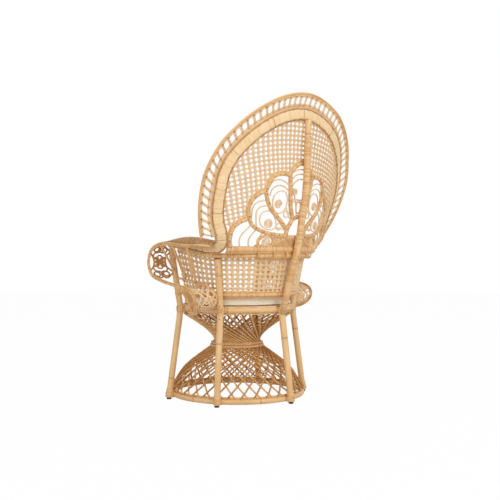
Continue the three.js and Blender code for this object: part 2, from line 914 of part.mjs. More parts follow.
// Spokes between two border canes, with a window between each two spokes
function laceSolid() {
  const foot = rim.footZ + laceLift;
  const onBand = outlineRoute(band, bandFootPower, fanDepth, laceShares(), foot);
  const inner = outset(onBand, band.width / 2 + 2 * gap, fanDepth);
  const onRim = outlineRoute(rim, rimFootPower, rimDepthAt, laceShares(), foot);
  const outer = outset(onRim, -(rim.radius + 3 * gap), rimDepthAt);
  const grid = inner.map((p, i) => {
    const span = p.distanceTo(outer[i]);
    return [0, laceCane.width / span, 1 - laceCane.width / span, 1].map((share) => p.clone().lerp(outer[i], share));
  });
  const around = (p, i) => {
    const way = grid[Math.min(i + 1, grid.length - 1)][1].clone().sub(grid[Math.max(i - 1, 0)][1]);
    return way.cross(grid[i][3].clone().sub(grid[i][0])).normalize();
  };
  return sheet(grid, laceCane.thickness, around, (i, j) => j === 1 && i % 2 === 1);
}

// Shares at which each bar starts and ends, with an opening between each two bars
function barShares(openings, barShare) {
  const shares = [];
  for (let k = 0; k <= openings; k += 1) {
    shares.push(k / (openings + barShare), (k + barShare) / (openings + barShare));
  }
  return shares;
}

const laceShares = () => barShares(laceSpokes - 1, laceCane.spoke);

function shellPoint([across, up], side) {
  return onFan(side * across * shell.halfWidth, shellCentre + up * shell.height);
}

// Tubes along a line of the ornament and its mirror image, in one piece where they meet
function shellTubes(shares, radius, sides, steps) {
  const left = shares.map((s) => shellPoint(s, 1));
  const right = shares.map((s) => shellPoint(s, -1)).reverse();
  if (shares[shares.length - 1][0] > 0) {
    return [left, right].map((line) => tube(smooth(line, steps), radius, sides));
  }
  return [tube(smooth([...left, ...right.slice(1)], 2 * steps), radius, sides)];
}

function shellTube(shares, side) {
  const line = shares.map((s) => shellPoint(s, side));
  return tube(smooth(line, 2), shell.cane, 3);
}

const frameLines = [...petalArchShares, ...dividerShares, hubShares];
const framePoints = frameLines.flatMap((line) => {
  return smooth(line.map(([across, up]) => V(across, up, 0)), 24);
});

// The ends of a fine cane lie on the nearest frame
function tied(shares) {
  return shares.map(([across, up], i) => {
    if (across === 0 || (i > 0 && i < shares.length - 1)) return [across, up];
    const end = V(across, up, 0);
    const near = framePoints.reduce((best, p) => (p.distanceTo(end) < best.distanceTo(end) ? p : best));
    return near.distanceTo(end) < tieReachShare ? [near.x, near.y] : [across, up];
  });
}

// Wrapped frames of seven petals round a hub, with fine canes inside each petal
function shellSolid(cutters) {
  const pieces = frameLines.flatMap((line) => shellTubes(line, shell.frame, 4, 4));
  const fine = petalCaneShares.flat().map(tied);
  pieces.push(...fine.flatMap((line) => shellTubes(line, shell.cane, 3, 4)));
  const hubFoot = [hubShares[0][0], 0];
  const [single, ...paired] = stemShares;
  pieces.push(shellTube(single, 1), ...paired.flatMap((line) => [shellTube(line, 1), shellTube(line, -1)]));
  pieces.push(tube([shellPoint(hubFoot, 1), shellPoint([0, 0], 1), shellPoint(hubFoot, -1)], shell.frame, 4));
  return cut(joined(pieces), cutters);
}

// Flat coil of cane in front of a petal's fine canes
function eyeSolid(share, side, extra = 0) {
  const radius = shell.eye + extra;
  const disc = new THREE.CylinderGeometry(radius, radius, shell.eyeDepth + 2 * extra, eyeSides);
  const at = shellPoint(share, side);
  const out = fanOutward(at);
  const rise = fanDepth(at.x, at.z + shell.eye) - fanDepth(at.x, at.z - shell.eye);
  disc.rotateX(-Math.atan2(rise, 2 * shell.eye));
  disc.rotateZ(-Math.atan2(out.x, out.y));
  at.addScaledVector(out, -(shell.cane + shell.eyeDepth / 2 + gap));
  disc.translate(at.x, at.y, at.z);
  return merged(disc);
}

// Direction of a point seen from the shell's centre
const bearing = (p) => Math.atan2(p.z - shellCentre, p.x);

// Where a line from the left foot over the top comes to a direction
function atBearing(line, angle) {
  const i = Math.max(line.findIndex((p) => bearing(p) >= angle), 1);
  const from = bearing(line[i - 1]);
  const share = THREE.MathUtils.clamp((angle - from) / (bearing(line[i]) - from), 0, 1);
  return line[i - 1].clone().lerp(line[i], share);
}

// Line just outside the shell's arches, from the foot to the middle
function shellOutside() {
  const inner = petalArchShares.slice().reverse().flatMap((arch) => smooth(arch.map((s) => shellPoint(s, 1)), 12));
  const push = shell.frame + 2 * gap + fanWeave.clearance;
  return inner.map((p) => {
    const out = V(p.x, 0, p.z - shellCentre).normalize();
    return V(Math.max(p.x + push * out.x, 0), 0, p.z + push * out.z);
  });
}

// Woven field between the shell and the band: bars along rays from the shell's centre and
// round it, with plain openings between them
function weaveSolid() {
  const inner = shellOutside();
  const onBand = outlineRoute(band, bandFootPower, fanDepth, evenShares(3 * fanSteps + 1));
  const edge = outset(onBand, -(band.width / 2 + 3 * gap), fanDepth);
  const width = (p) => {
    const q = atBearing(edge, bearing(p));
    return Math.hypot(q.x, q.z - shellCentre) - Math.hypot(p.x, p.z - shellCentre);
  };
  const narrow = inner.map((p) => width(p) < fanWeave.least).lastIndexOf(true);
  const first = bearing(inner[narrow + 1]);
  const grid = barShares(openingsAround, weaveBarShare).map((share) => {
    const angle = mix(first, Math.PI - first, share);
    const side = angle > Math.PI / 2 ? -1 : 1;
    const p = atBearing(inner, side > 0 ? angle : Math.PI - angle);
    const q = atBearing(edge, side > 0 ? angle : Math.PI - angle);
    return barShares(openingsOut, weaveBarShare).map((out) => onFan(side * mix(p.x, q.x, out), mix(p.z, q.z, out)));
  });
  return sheet(grid, fanWeave.thickness, () => V(0, 1, 0), (i, j) => i % 2 === 1 && j % 2 === 1);
}

function makeFan() {
  const bar = [];
  for (let i = 0; i <= fanBar.steps; i += 1) {
    bar.push(onFan(mix(-fanBarHalf, fanBarHalf, i / fanBar.steps), band.footZ));
  }
  const barSolid = (extra) => tube(bar, fanBar.radius + extra, fanBar.sides);
  const bandCutter = bandSolid(2 * gap);
  place("fan_band", bandSolid(0), wrapLook);
  place("fan_bottom_bar", cut(barSolid(0), [bandCutter]), wrapLook);
  const rimRoute = outlineRoute(rim, rimFootPower, rimDepthAt, evenShares(laceSpokes - 1));
  place("fan_rim", tube(rimRoute, rim.radius, rim.sides), caneLook);
  place("fan_lace", laceSolid(), caneLook);
  const [middle, ...others] = eyeShares;
  const eyeCutters = others.flatMap((share) => [eyeSolid(share, 1, gap), eyeSolid(share, -1, gap)]);
  const frame = shellSolid([barSolid(gap), bandCutter, eyeSolid(middle, 1, gap), ...eyeCutters]);
  place("fan_shell", frame, wrapLook);
  place("fan_weave", cut(weaveSolid(), [barSolid(gap), bandCutter]), weaveLook);
  place("petal_eye_middle", eyeSolid(middle, 1), caneLook);
  ["upper", "middle", "lower"].forEach((name, i) => {
    place("petal_eye_" + name + "_left", eyeSolid(others[i], 1), caneLook);
    place("petal_eye_" + name + "_right", eyeSolid(others[i], -1), caneLook);
  });
}

// Arms

function armRimRoute() {
  const top = armRimTop.map((p) => V(...p));
  const scroll = [90, 45, 0, -45, -90].map((turn) => {
    const y = arm.scrollY - scrollRadius * Math.cos(rad(turn));
    return V(arm.outerX, y, scrollZ + scrollRadius * Math.sin(rad(turn)));
  });
  return smooth([...top, ...scroll, ...armRimReturn.map((p) => V(...p))], arm.steps);
}

// Where the tub's rail lies beside a distance behind the axis, and the rear end beyond it
function padInnerEdge(y) {
  const corner = polar(sidePoleAngle, tubRailRadiusAt(sidePoleAngle), 0);
  if (y > corner.y) {
    const share = (y - corner.y) / (pad.rear - corner.y);
    return V(mix(corner.x, pad.rearX, share), y, mix(tubRail.height + tubRail.radius, padRearZ, share));
  }
  const radius = tubRail.sideRadius;
  const angle = THREE.MathUtils.radToDeg(Math.acos(y / radius));
  return V(Math.sqrt(radius ** 2 - y ** 2), y, tubRailHeightAt(angle) + tubRail.radius);
}

function padOuterEdge(y) {
  const table = [...armRimTop].reverse().map(([x, at, z]) => [at, x, z]);
  return V(along(table, y, 1), y, along(table, y, 2));
}

// Arched rest from the tub's rail over to the arm's rim
function padSolid() {
  const grid = [];
  for (let i = 0; i <= pad.steps; i += 1) {
    const y = mix(pad.front, pad.rear, i / pad.steps);
    const inner = padInnerEdge(y);
    const outer = padOuterEdge(y);
    const low = new THREE.Vector2(inner.x, inner.z + pad.thickness / 2 + gap);
    const high = new THREE.Vector2(outer.x - arm.rimRadius - padInset, outer.z + padInset);
    const bend = new THREE.Vector2(inner.x + padInset, padCrest);
    const fall = new THREE.Vector2(outer.x - padOverhang, padCrest);
    const curve = new THREE.CubicBezierCurve(low, bend, fall, high);
    const row = curve.getPoints(pad.rows).map((p) => V(p.x, y, p.y));
    grid.push(row);
  }
  const outward = (p, i, j) => {
    const row = grid[i];
    const a = row[Math.max(j - 1, 0)];
    const b = row[Math.min(j + 1, row.length - 1)];
    return V(-(b.z - a.z), 0, b.x - a.x).normalize();
  };
  return sheet(grid, pad.thickness, outward);
}

// Two canes that cross, each ending in loops, laid on a surface given by shares
function scrollSolid(surface, cutters) {
  const one = scrollShares;
  const other = scrollShares.map(([across, up]) => [1 - across, up]);
  const canes = [one, other].map((shares) => {
    const points = shares.map(([across, up]) => surface(across, up));
    return tube(smooth(points, scrollCane.steps), scrollCane.radius, scrollCane.sides);
  });
  return cut(joined(canes), cutters);
}

// Front surface of the scroll, from the front pole out to the rim
function frontSurface(across, up) {
  const { scrollY, outerX } = arm;
  const z = scrollZ + scrollRadius * (2 * up - 1) * 0.9;
  const y = scrollY - Math.sqrt(Math.max(scrollRadius ** 2 - (z - scrollZ) ** 2, 0));
  const foot = polar(frontPoleAngle, poleSeatRadius, seatRingHeight);
  const head = poleRoute(frontPoleAngle)[2];
  const at = foot.lerp(head, (z - foot.z) / (head.z - foot.z));
  at.x += pole.radius;
  return at.lerp(V(outerX, y, z), across);
}

// Rear surface of the scroll, from the side pole out to the rim's lower bend
function rearSurface(across, up) {
  const rail = armRailRoute.slice(4).reverse().map((p) => V(...p));
  const edge = armRimReturn.slice(1, 7).reverse().map((p) => V(...p));
  const inner = new THREE.CatmullRomCurve3(rail).getPointAt(up);
  const outer = new THREE.CatmullRomCurve3(edge).getPointAt(up);
  return inner.lerp(outer, across);
}

function makeArms() {
  const rimRoute = armRimRoute();
  const rimSolid = (extra) => tube(rimRoute, arm.rimRadius + extra, arm.sides);
  const railRoute = smooth(armRailRoute.map((p) => V(...p)), 18);
  const railSolid = (extra) => tube(railRoute, armRail.radius + extra, armRail.sides);
  const seatCutter = seatRingSolid(gap);
  const frontPole = tube(poleRoute(frontPoleAngle), pole.radius + gap, pole.sides);
  const sidePole = tube(poleRoute(sidePoleAngle), pole.radius + gap, pole.sides);
  const wallCutters = [wallSolid(sidePoleAngle, tubWall.endAngle)];
  placePair("arm_rim", cut(rimSolid(0), [seatCutter, frontPole]), caneLook);
  placePair("arm_lower_rail", cut(railSolid(0), [seatCutter, frontPole, sidePole, ...wallCutters]), caneLook);
  const padCutters = [bandSolid(2 * gap), rimSolid(gap), mirrored(rimSolid(gap))];
  place("arm_pad_left", cut(padSolid(), padCutters), wrapLook);
  place("arm_pad_right", cut(mirrored(padSolid()), padCutters), wrapLook);
  armStruts.forEach(({ topY, lowY }, i) => {
    const table = [...armRimTop].reverse().map(([x, at, z]) => [at, x, z]);
    const top = V(along(table, topY, 1), topY, along(table, topY, 2));
    const low = railRoute.reduce((best, p) => (Math.abs(p.y - lowY) < Math.abs(best.y - lowY) ? p : best));
    const solid = cut(tube([top, low], strut.radius, strut.sides), [rimSolid(gap), railSolid(gap), padSolid()]);
    placePair("arm_strut_" + (i + 1), solid, caneLook);
  });
  const cutters = [rimSolid(gap), railSolid(gap), frontPole, sidePole];
  placePair("front_scroll", scrollSolid(frontSurface, cutters), caneLook);
  placePair("rear_scroll", scrollSolid(rearSurface, cutters), caneLook);
}

makeBase();
makePedestal();
makeSeat();
makeTub();
makeFan();
makeArms();

// The origin lies on the floor under the middle of the chair
const box = new THREE.Box3().setFromObject(chair);
chair.position.set(0, -(box.min.y + box.max.y) / 2, 0);

export default chair;
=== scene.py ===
# %% [markdown]
# # A rattan peacock chair, seen from behind
# The real chair is made of four things: peeled poles, round canes, flat split cane that is
# wound round cores, and fine reed that is woven into open walls. One loose round cushion
# lies on the seat. Nearly every piece is therefore a section carried along a path, so this
# lesson writes that once, with numpy, and spends its time on the paths and the finishes.

# %% Load the frame
import math
import bpy
import numpy as np
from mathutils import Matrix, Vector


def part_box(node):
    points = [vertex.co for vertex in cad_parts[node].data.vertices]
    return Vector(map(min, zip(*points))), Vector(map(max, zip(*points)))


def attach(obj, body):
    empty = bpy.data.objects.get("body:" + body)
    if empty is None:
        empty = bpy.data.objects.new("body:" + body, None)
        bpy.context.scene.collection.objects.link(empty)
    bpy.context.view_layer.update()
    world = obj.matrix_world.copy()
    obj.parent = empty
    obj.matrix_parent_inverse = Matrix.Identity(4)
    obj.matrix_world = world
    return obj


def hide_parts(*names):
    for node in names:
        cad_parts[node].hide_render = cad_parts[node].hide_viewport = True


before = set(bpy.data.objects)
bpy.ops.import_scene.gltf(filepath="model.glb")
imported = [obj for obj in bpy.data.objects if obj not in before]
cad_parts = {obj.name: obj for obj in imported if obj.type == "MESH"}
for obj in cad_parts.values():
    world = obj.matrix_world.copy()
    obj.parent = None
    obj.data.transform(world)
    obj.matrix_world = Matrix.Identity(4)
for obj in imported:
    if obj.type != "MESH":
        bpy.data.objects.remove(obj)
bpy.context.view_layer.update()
low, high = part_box("base_ring")
AXIS_Y = (low.y + high.y) / 2
print("frame loaded:", len(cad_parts), "nodes, seat axis at y =", round(AXIS_Y, 4))

# %% [markdown]
# ## Meshes from whole arrays
# A chair of canes has thousands of short curves. Python loops over vertices would be slow, so
# a sweep computes every ring of every path at once: rings are points of the path plus the
# section, turned into the path's own frame. The frame is carried along the path without
# twisting, one station at a time for all paths together.

# %% Small tools for arrays
def unit(v):
    """Each vector divided by its length."""
    return v / np.maximum(np.linalg.norm(v, axis=-1, keepdims=True), 1e-12)


def turns_of(count, shift=0.5):
    """Equal angles round a circle, in radians."""
    return 2 * np.pi * (np.arange(count) + shift) / count


def squared(wave, power):
    """A sine or cosine, bent towards a square wave by a power below 1."""
    return np.sign(wave) * np.abs(wave) ** power


def distances(path):
    """How far along a path each of its points lies."""
    return np.concatenate([[0], np.cumsum(np.linalg.norm(np.diff(path, axis=0), axis=1))])


def between(places, known, points):
    """Points of a polyline at some places, straight between those whose places are known."""
    return np.stack([np.interp(places, known, column) for column in points.T], -1)


# %% Sweep a section along paths
def path_frames(paths, up, closed):
    """Tangents by central differences, and a normal square to them. Given up directions are
    projected; otherwise the first normal is carried along and projected at each station."""
    steps = np.roll(paths, -1, 1) - np.roll(paths, 1, 1) if closed else np.gradient(paths, axis=1)
    way = unit(steps)
    square = lambda v, w: unit(v - (v * w).sum(-1, keepdims=True) * w)
    if up is not None:
        return way, square(np.broadcast_to(up, paths.shape), way)
    side = np.empty_like(way)
    upright = np.abs(way[:, :1, 2:]) > 0.9
    carried = np.where(upright, (1.0, 0.0, 0.0), (0.0, 0.0, 1.0))[:, 0]
    for i in range(paths.shape[1]):
        side[:, i] = carried = square(carried, way[:, i])
    return way, side


def sweep(paths, radius, section=8, up=None, closed=False, keep=None, seed=0):
    """Skins of one section along many paths: point + radius * (a * normal + b * binormal).
    Gives vertices, quads, end-cap triangles and, per face corner, u round and v along, in
    metres. Every path has its own start of v, so that each cane gets its own grain."""
    paths = np.asarray(paths, float)
    if paths.ndim == 2:
        paths = paths[None]
    n, m, _ = paths.shape
    if isinstance(section, int):
        section = np.stack([np.cos(turns_of(section)), np.sin(turns_of(section))], -1)
    s = len(section)
    way, side = path_frames(paths, up, closed)
    other = np.cross(way, side)
    radius = np.broadcast_to(np.asarray(radius, float), (n, m))[..., None, None]
    arms = section[:, :1] * side[:, :, None] + section[:, 1:] * other[:, :, None]
    verts = (paths[:, :, None] + radius * arms).reshape(-1, 3)
    start = np.random.default_rng(seed).uniform(0, 40, (n, 1))
    steps = np.linalg.norm(np.diff(paths, axis=1, append=paths[:, :1]), axis=-1)
    along = np.concatenate([np.zeros((n, 1)), np.cumsum(steps, 1)], 1) + start
    around = np.linalg.norm(section - np.roll(section, -1, 0), axis=1).cumsum()
    around = np.concatenate([[0], around]) * float(radius.mean())
    joints = m if closed else m - 1
    p, i, k = np.meshgrid(np.arange(n), np.arange(joints), np.arange(s), indexing="ij")
    kept = slice(None) if keep is None else keep
    p, i, k = (q[kept].ravel() for q in (p, i, k))
    j, l = (i + 1) % m, (k + 1) % s
    quads = np.stack([(p * m + a) * s + b for a, b in ((i, k), (i, l), (j, l), (j, k))], -1)
    corners = (k, i), (k + 1, i), (k + 1, i + 1), (k, i + 1)
    uv = np.stack([np.stack([around[a], along[p, b]], -1) for a, b in corners], 1)
    caps = end_caps(n, m, s, closed, keep, section * float(radius.mean()))
    return verts, quads, caps[0], uv.reshape(-1, 2), caps[1]


def end_caps(n, m, s, closed, keep, flat):
    """Triangle fans that close every end of every run of the sweep."""
    if closed:
        return np.zeros((0, 3), int), np.zeros((0, 2))
    padded = np.pad(np.ones((n, m - 1), bool) if keep is None else keep, ((0, 0), (1, 1)))
    starts = np.argwhere(padded[:, 1:] & ~padded[:, :-1])
    ends = np.argwhere(padded[:, :-1] & ~padded[:, 1:])
    fan = np.stack([np.zeros(s - 2, int), np.arange(1, s - 1), np.arange(2, s)], -1)
    base = lambda which: ((which[:, 0] * m + which[:, 1]) * s)[:, None, None]
    tris = np.concatenate([(base(starts) + fan[None, :, ::-1]).reshape(-1, 3),
                           (base(ends) + fan[None]).reshape(-1, 3)])
    corners = np.tile(fan[:, ::-1], (len(starts), 1)), np.tile(fan, (len(ends), 1))
    return tris, flat[np.concatenate(corners)].reshape(-1, 2)


def merge_parts(parts):
    """Several sweeps as one mesh's arrays."""
    verts, quads, tris, quad_uv, tri_uv = zip(*parts)
    offsets = np.cumsum([0] + [len(v) for v in verts[:-1]])
    quads, tris = (np.concatenate([f + o for f, o in zip(kind, offsets)]) for kind in (quads, tris))
    return np.concatenate(verts), quads, tris, np.concatenate(quad_uv), np.concatenate(tri_uv)


def add_object(name, data):
    item = bpy.data.objects.new(name, data)
    bpy.context.scene.collection.objects.link(item)
    return item


def make_piece(name, parts, material, nodes=(), body="frame"):
    """Arrays to an object that rides on its body. Places are measured from the seat's axis."""
    verts, quads, tris, quad_uv, tri_uv = merge_parts(parts)
    corners = np.concatenate([quads.ravel(), tris.ravel()])
    used = np.unique(corners)
    renumber = np.zeros(len(verts), int)
    renumber[used] = np.arange(len(used))
    verts, loops = verts[used] + (0, AXIS_Y, 0), renumber[corners]
    starts = np.concatenate([np.arange(len(quads)) * 4, quads.size + np.arange(len(tris)) * 3])
    mesh = bpy.data.meshes.new(name)
    mesh.vertices.add(len(verts))
    mesh.vertices.foreach_set("co", verts.astype(np.float32).ravel())
    mesh.loops.add(len(loops))
    mesh.loops.foreach_set("vertex_index", loops.astype(np.int32))
    mesh.polygons.add(len(starts))
    mesh.polygons.foreach_set("loop_start", starts.astype(np.int32))
    mesh.polygons.foreach_set("use_smooth", np.ones(len(starts), bool))
    mesh.update(calc_edges=True)
    layer = mesh.uv_layers.new(name="UVMap")
    layer.data.foreach_set("uv", np.concatenate([quad_uv, tri_uv]).astype(np.float32).ravel())
    mesh.materials.append(material)
    piece = add_object(name, mesh)
    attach(piece, body)
    if nodes:
        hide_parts(*nodes)
    print(name, len(quads) * 2 + len(tris), "triangles")
    return piece


# %% Paths
def smooth_path(points, count, closed=False):
    """Catmull-Rom curve through the points, resampled at even distances."""
    p = np.asarray(points, float)
    if closed:
        p = np.concatenate([p[-1:], p, p[:2]])
    else:
        p = np.concatenate([2 * p[:1] - p[1:2], p, 2 * p[-1:] - p[-2:-1]])
    a, b, c, d = p[:-3, None], p[1:-2, None], p[2:-1, None], p[3:, None]
    t = np.linspace(0, 1, 16, endpoint=False)[None, :, None]
    curve = 0.5 * (2 * b + (c - a) * t + (2 * a - 5 * b + 4 * c - d) * t**2
                   + (3 * b - a - 3 * c + d) * t**3)
    curve = np.concatenate([curve.reshape(-1, p.shape[1]), p[-2:-1]])
    far = distances(curve)
    want = np.linspace(0, far[-1], count + 1)[:-1] if closed else np.linspace(0, far[-1], count)
    return between(want, far, curve)


def even_path(points, shares):
    """Points at shares of a polyline's whole length."""
    far = distances(points)
    return between(np.asarray(shares) * far[-1], far, points)


def table(rows, at, column=1):
    """Smooth value from rows that start with the place: cubic through them, with mean slopes."""
    rows = np.asarray(rows, float)
    x, y = rows[:, 0], rows[:, column]
    slope = np.gradient(y, x)
    at = np.clip(at, x[0], x[-1])
    i = np.clip(np.searchsorted(x, at) - 1, 0, len(x) - 2)
    h = x[i + 1] - x[i]
    t = (at - x[i]) / h
    return ((1 + 2 * t) * (1 - t) ** 2 * y[i] + t * (1 - t) ** 2 * h * slope[i]
            + t**2 * (3 - 2 * t) * y[i + 1] + t**2 * (t - 1) * h * slope[i + 1])


def polar(angle, radius, height):
    """Angles in degrees from the rear towards the sitter's left."""
    a = np.radians(angle)
    return np.stack(np.broadcast_arrays(radius * np.sin(a), radius * np.cos(a), height), -1)


def circle(radius, height, steps=120):
    return polar(np.arange(steps) * 360 / steps, radius, height)


# %% [markdown]
# ## Finishes
# Rattan keeps its honey colour under a thin satin varnish. What tells one part from another
# is the direction and size of the marks: poles have long fibres and a joint ring every hand's
# breadth, canes are the same but finer, wound cane shows as narrow bands across the core,
# and reed is pale and dull. Every pattern follows the piece's own UV map, in metres.

# %% Colour and node helpers
def linear(hexa):
    """sRGB hex to linear colour."""
    c = np.array([int(hexa[i:i + 2], 16) for i in (0, 2, 4)]) / 255
    return (*np.where(c <= 0.04045, c / 12.92, ((c + 0.055) / 1.055) ** 2.4), 1.0)


def add(tree, kind, links=None, **settings):
    """One node with its settings, and values or links for its sockets."""
    node = tree.nodes.new(kind)
    for key, value in settings.items():
        setattr(node, key, value)
    for key, value in (links or {}).items():
        if isinstance(value, bpy.types.NodeSocket):
            tree.links.new(value, node.inputs[key])
        else:
            node.inputs[key].default_value = value
    return node


def new_material(name, roughness, specular=0.5, sheen=0.0):
    material = bpy.data.materials.new(name)
    material.use_nodes = True
    tree = material.node_tree
    tree.nodes.clear()
    shader = add(tree, "ShaderNodeBsdfPrincipled", {"Roughness": roughness, "IOR": 1.5,
                 "Specular IOR Level": specular, "Sheen Weight": sheen})
    add(tree, "ShaderNodeOutputMaterial", {0: shader.outputs[0]})
    return material, tree, shader


def maths(tree, operation, a, b=0.0, c=0.0):
    return add(tree, "ShaderNodeMath", {0: a, 1: b, 2: c}, operation=operation).outputs[0]


def weighed(tree, a, share_a, b, share_b):
    """a * share_a + b * share_b"""
    return maths(tree, "MULTIPLY_ADD", a, share_a, maths(tree, "MULTIPLY", b, share_b))


def feed(tree, shader, socket, value):
    tree.links.new(value, shader.inputs[socket])


def bump(tree, shader, height, strength, distance):
    node = add(tree, "ShaderNodeBump",
               {"Height": height, "Strength": strength, "Distance": distance})
    feed(tree, shader, "Normal", node.outputs[0])


def ramp(tree, value, stops):
    node = add(tree, "ShaderNodeValToRGB", {"Fac": value})
    ends = node.color_ramp.elements
    while len(ends) < len(stops):
        ends.new(0.5)
    for end, (place, hexa) in zip(ends, stops):
        end.position = place
        end.color = linear(hexa)
    return node.outputs["Color"]


def darker_where(tree, colour, share, hexa):
    """The colour, mixed with another one by a share that changes over the surface."""
    inputs = {"Factor": share, "A": colour, "B": linear(hexa)}
    return add(tree, "ShaderNodeMix", inputs, data_type="RGBA").outputs[2]


def noise(tree, place, scale, detail, **more):
    inputs = {"Vector": place, "Scale": scale, "Detail": detail, **more}
    return add(tree, "ShaderNodeTexNoise", inputs).outputs["Fac"]


def uv_map(tree):
    return add(tree, "ShaderNodeUVMap", uv_map="UVMap").outputs[0]


def object_place(tree):
    return add(tree, "ShaderNodeTexCoord").outputs["Object"]


def stretched_noise(tree, across, along, detail=3.0):
    """Noise whose marks are `across` metres wide and `along` metres long on the UV map."""
    scale = (1 / across, 1 / along, 1)
    place = add(tree, "ShaderNodeMapping", {"Vector": uv_map(tree), "Scale": scale}).outputs[0]
    return noise(tree, place, 1.0, detail, Roughness=0.55)


def repeats(tree, length):
    """The place along the piece, counted in a length that repeats, and how far it is from the
    middle of its repeat."""
    along = add(tree, "ShaderNodeSeparateXYZ", {0: uv_map(tree)}).outputs[1]
    place = maths(tree, "DIVIDE", along, length)
    centred = maths(tree, "SUBTRACT", maths(tree, "FRACT", place), 0.5)
    return place, maths(tree, "ABSOLUTE", centred)


# %% Peeled rattan with fibres and joints
def peeled_rattan(name, stops, fibre=0.0012, joint_every=0.33, joint_width=0.006,
                  roughness=0.42):
    """Satin varnish over peeled cane: fibres run along it, and a darker ring marks each joint."""
    material, tree, shader = new_material(name, roughness)
    fibres = stretched_noise(tree, fibre, 0.09)
    patches = stretched_noise(tree, 0.05, 0.16, 2.0)
    colour = ramp(tree, weighed(tree, fibres, 0.45, patches, 0.55), stops)
    _, off = repeats(tree, joint_every)
    near = maths(tree, "SUBTRACT", 1.0, maths(tree, "DIVIDE", off, joint_width / joint_every))
    ring = add(tree, "ShaderNodeClamp", {"Value": near}).outputs[0]
    share = maths(tree, "MULTIPLY", ring, 0.6)
    feed(tree, shader, "Base Color", darker_where(tree, colour, share, "9C6A35"))
    bump(tree, shader, weighed(tree, fibres, 0.3, ring, 0.15), 0.25, 0.001)
    return material


# %% Flat cane wound round a core
def wound_cane(name, stops, pitch=0.0055, groove="A0713E", depth=0.5):
    """Split cane about 5 mm wide lies turn beside turn. Each turn has its own tone, and a thin
    shadow line parts it from the next."""
    material, tree, shader = new_material(name, 0.5)
    turns, off = repeats(tree, pitch)
    number = maths(tree, "FLOOR", turns)
    own = add(tree, "ShaderNodeTexWhiteNoise", {"W": number}, noise_dimensions="1D")
    own = own.outputs["Value"]
    patches = stretched_noise(tree, 0.06, 0.05, 2.0)
    colour = ramp(tree, weighed(tree, own, 0.5, patches, 0.5), stops)
    line = add(tree, "ShaderNodeMapRange", {"Value": off, "From Min": 0.36, "From Max": 0.5})
    dark = maths(tree, "MULTIPLY", line.outputs[0], maths(tree, "MULTIPLY_ADD", own, 0.5, 0.15))
    feed(tree, shader, "Base Color", darker_where(tree, colour, dark, groove))
    edge = maths(tree, "POWER", maths(tree, "MULTIPLY", off, 2.0), 4.0)
    bump(tree, shader, maths(tree, "SUBTRACT", 1.0, edge), depth, 0.0012)
    return material


THIN = dict(fibre=0.0008, joint_every=0.41, joint_width=0.003)
# Peeled manau poles, 30 mm thick
POLE = peeled_rattan("peeled_rattan_pole", [(0.25, "D5A468"), (0.5, "EAC088"), (0.75, "F3D1A0")])
# Round canes 3 to 11 mm thick
CANE = peeled_rattan("round_cane", [(0.25, "CE9553"), (0.5, "E7B676"), (0.78, "F4D09A")],
                     roughness=0.48, **THIN)
# The same canes inside the pedestal and in the front scroll, browner: painted shade for the shadow
# where light seldom comes
PAINTED_SHADE_CANE = peeled_rattan("inner_cane", [(0.25, "A86E30"), (0.5, "C68D49"), (0.78, "DAA866")],
                           roughness=0.6, **THIN)
# Reed: the pale core of the cane, without its shiny skin
REED = peeled_rattan("woven_reed", [(0.2, "E6C08C"), (0.5, "F6D6AA"), (0.8, "FDE8C4")],
                     fibre=0.0006, joint_every=0.9, joint_width=0.002, roughness=0.6)
# Split cane round rails and frames
WOUND = wound_cane("wound_split_cane", [(0.2, "D6A062"), (0.5, "E8B980"), (0.8, "F3CF9A")])
# Sun-bleached thin cane of the lace and the petals
LACE = peeled_rattan("pale_lace_cane", [(0.2, "DDB27C"), (0.5, "F0CD9E"), (0.8, "F8DDB6")],
                     fibre=0.0007, joint_every=0.7, joint_width=0.002, roughness=0.5)
# Pale split cane round the fan's band
BAND = wound_cane("wound_band_cane", [(0.15, "EEC893"), (0.5, "F8D6A4"), (0.85, "FDE3B8")],
                  groove="C9965C", depth=0.3)
# Split cane of the arm rests, browner than the other wound cane: painted shade for the shadow on
# the rests
PADDING = wound_cane("arm_rest_cane", [(0.2, "B07C44"), (0.5, "CB985E"), (0.8, "DFB47C")],
                     pitch=0.0045, groove="7A4E24", depth=0.8)
# Brown stitches along the band
EDGE = wound_cane("stitched_edge_cane", [(0.3, "A06C36"), (0.55, "BE8850"), (0.8, "DDB27C")],
                  pitch=0.007, groove="744A20", depth=0.6)
# The shadow in the band's seams, where one length of cane ends and the next begins
SEAM = peeled_rattan("shaded_seam", [(0.3, "6E451E"), (0.5, "8A5A2C"), (0.7, "A3713C")],
                     roughness=0.7)


# %% Cloth of the cushion, plastic of the glides and steel of the nails
def plain_cloth(name):
    """Plain-woven cotton: threads 1.2 mm apart, coarser than real so that they still show."""
    material, tree, shader = new_material(name, 0.92, 0.2, sheen=0.35)
    place = object_place(tree)
    inputs = {"Vector": place, "Scale": 420.0, "Distortion": 1.2, "Detail": 1.0,
              "Detail Scale": 60.0}
    waves = [add(tree, "ShaderNodeTexWave", inputs, bands_direction=axis).outputs["Fac"]
             for axis in ("X", "Y")]
    thread = maths(tree, "MAXIMUM", *waves)
    tone = weighed(tree, thread, 0.35, noise(tree, place, 9.0, 4.0), 0.65)
    stops = [(0.2, "F0DDC0"), (0.5, "FAEBD4"), (0.8, "FDF5E8")]
    feed(tree, shader, "Base Color", ramp(tree, tone, stops))
    bump(tree, shader, thread, 0.25, 0.0006)
    return material


def patchy(name, roughness, scale, detail, stops):
    """A plain surface whose colour changes in small patches; gives the patches as well."""
    material, tree, shader = new_material(name, roughness)
    patches = noise(tree, object_place(tree), scale, detail)
    feed(tree, shader, "Base Color", ramp(tree, patches, stops))
    return material, tree, shader, patches


CLOTH = plain_cloth("plain_cotton_cloth")
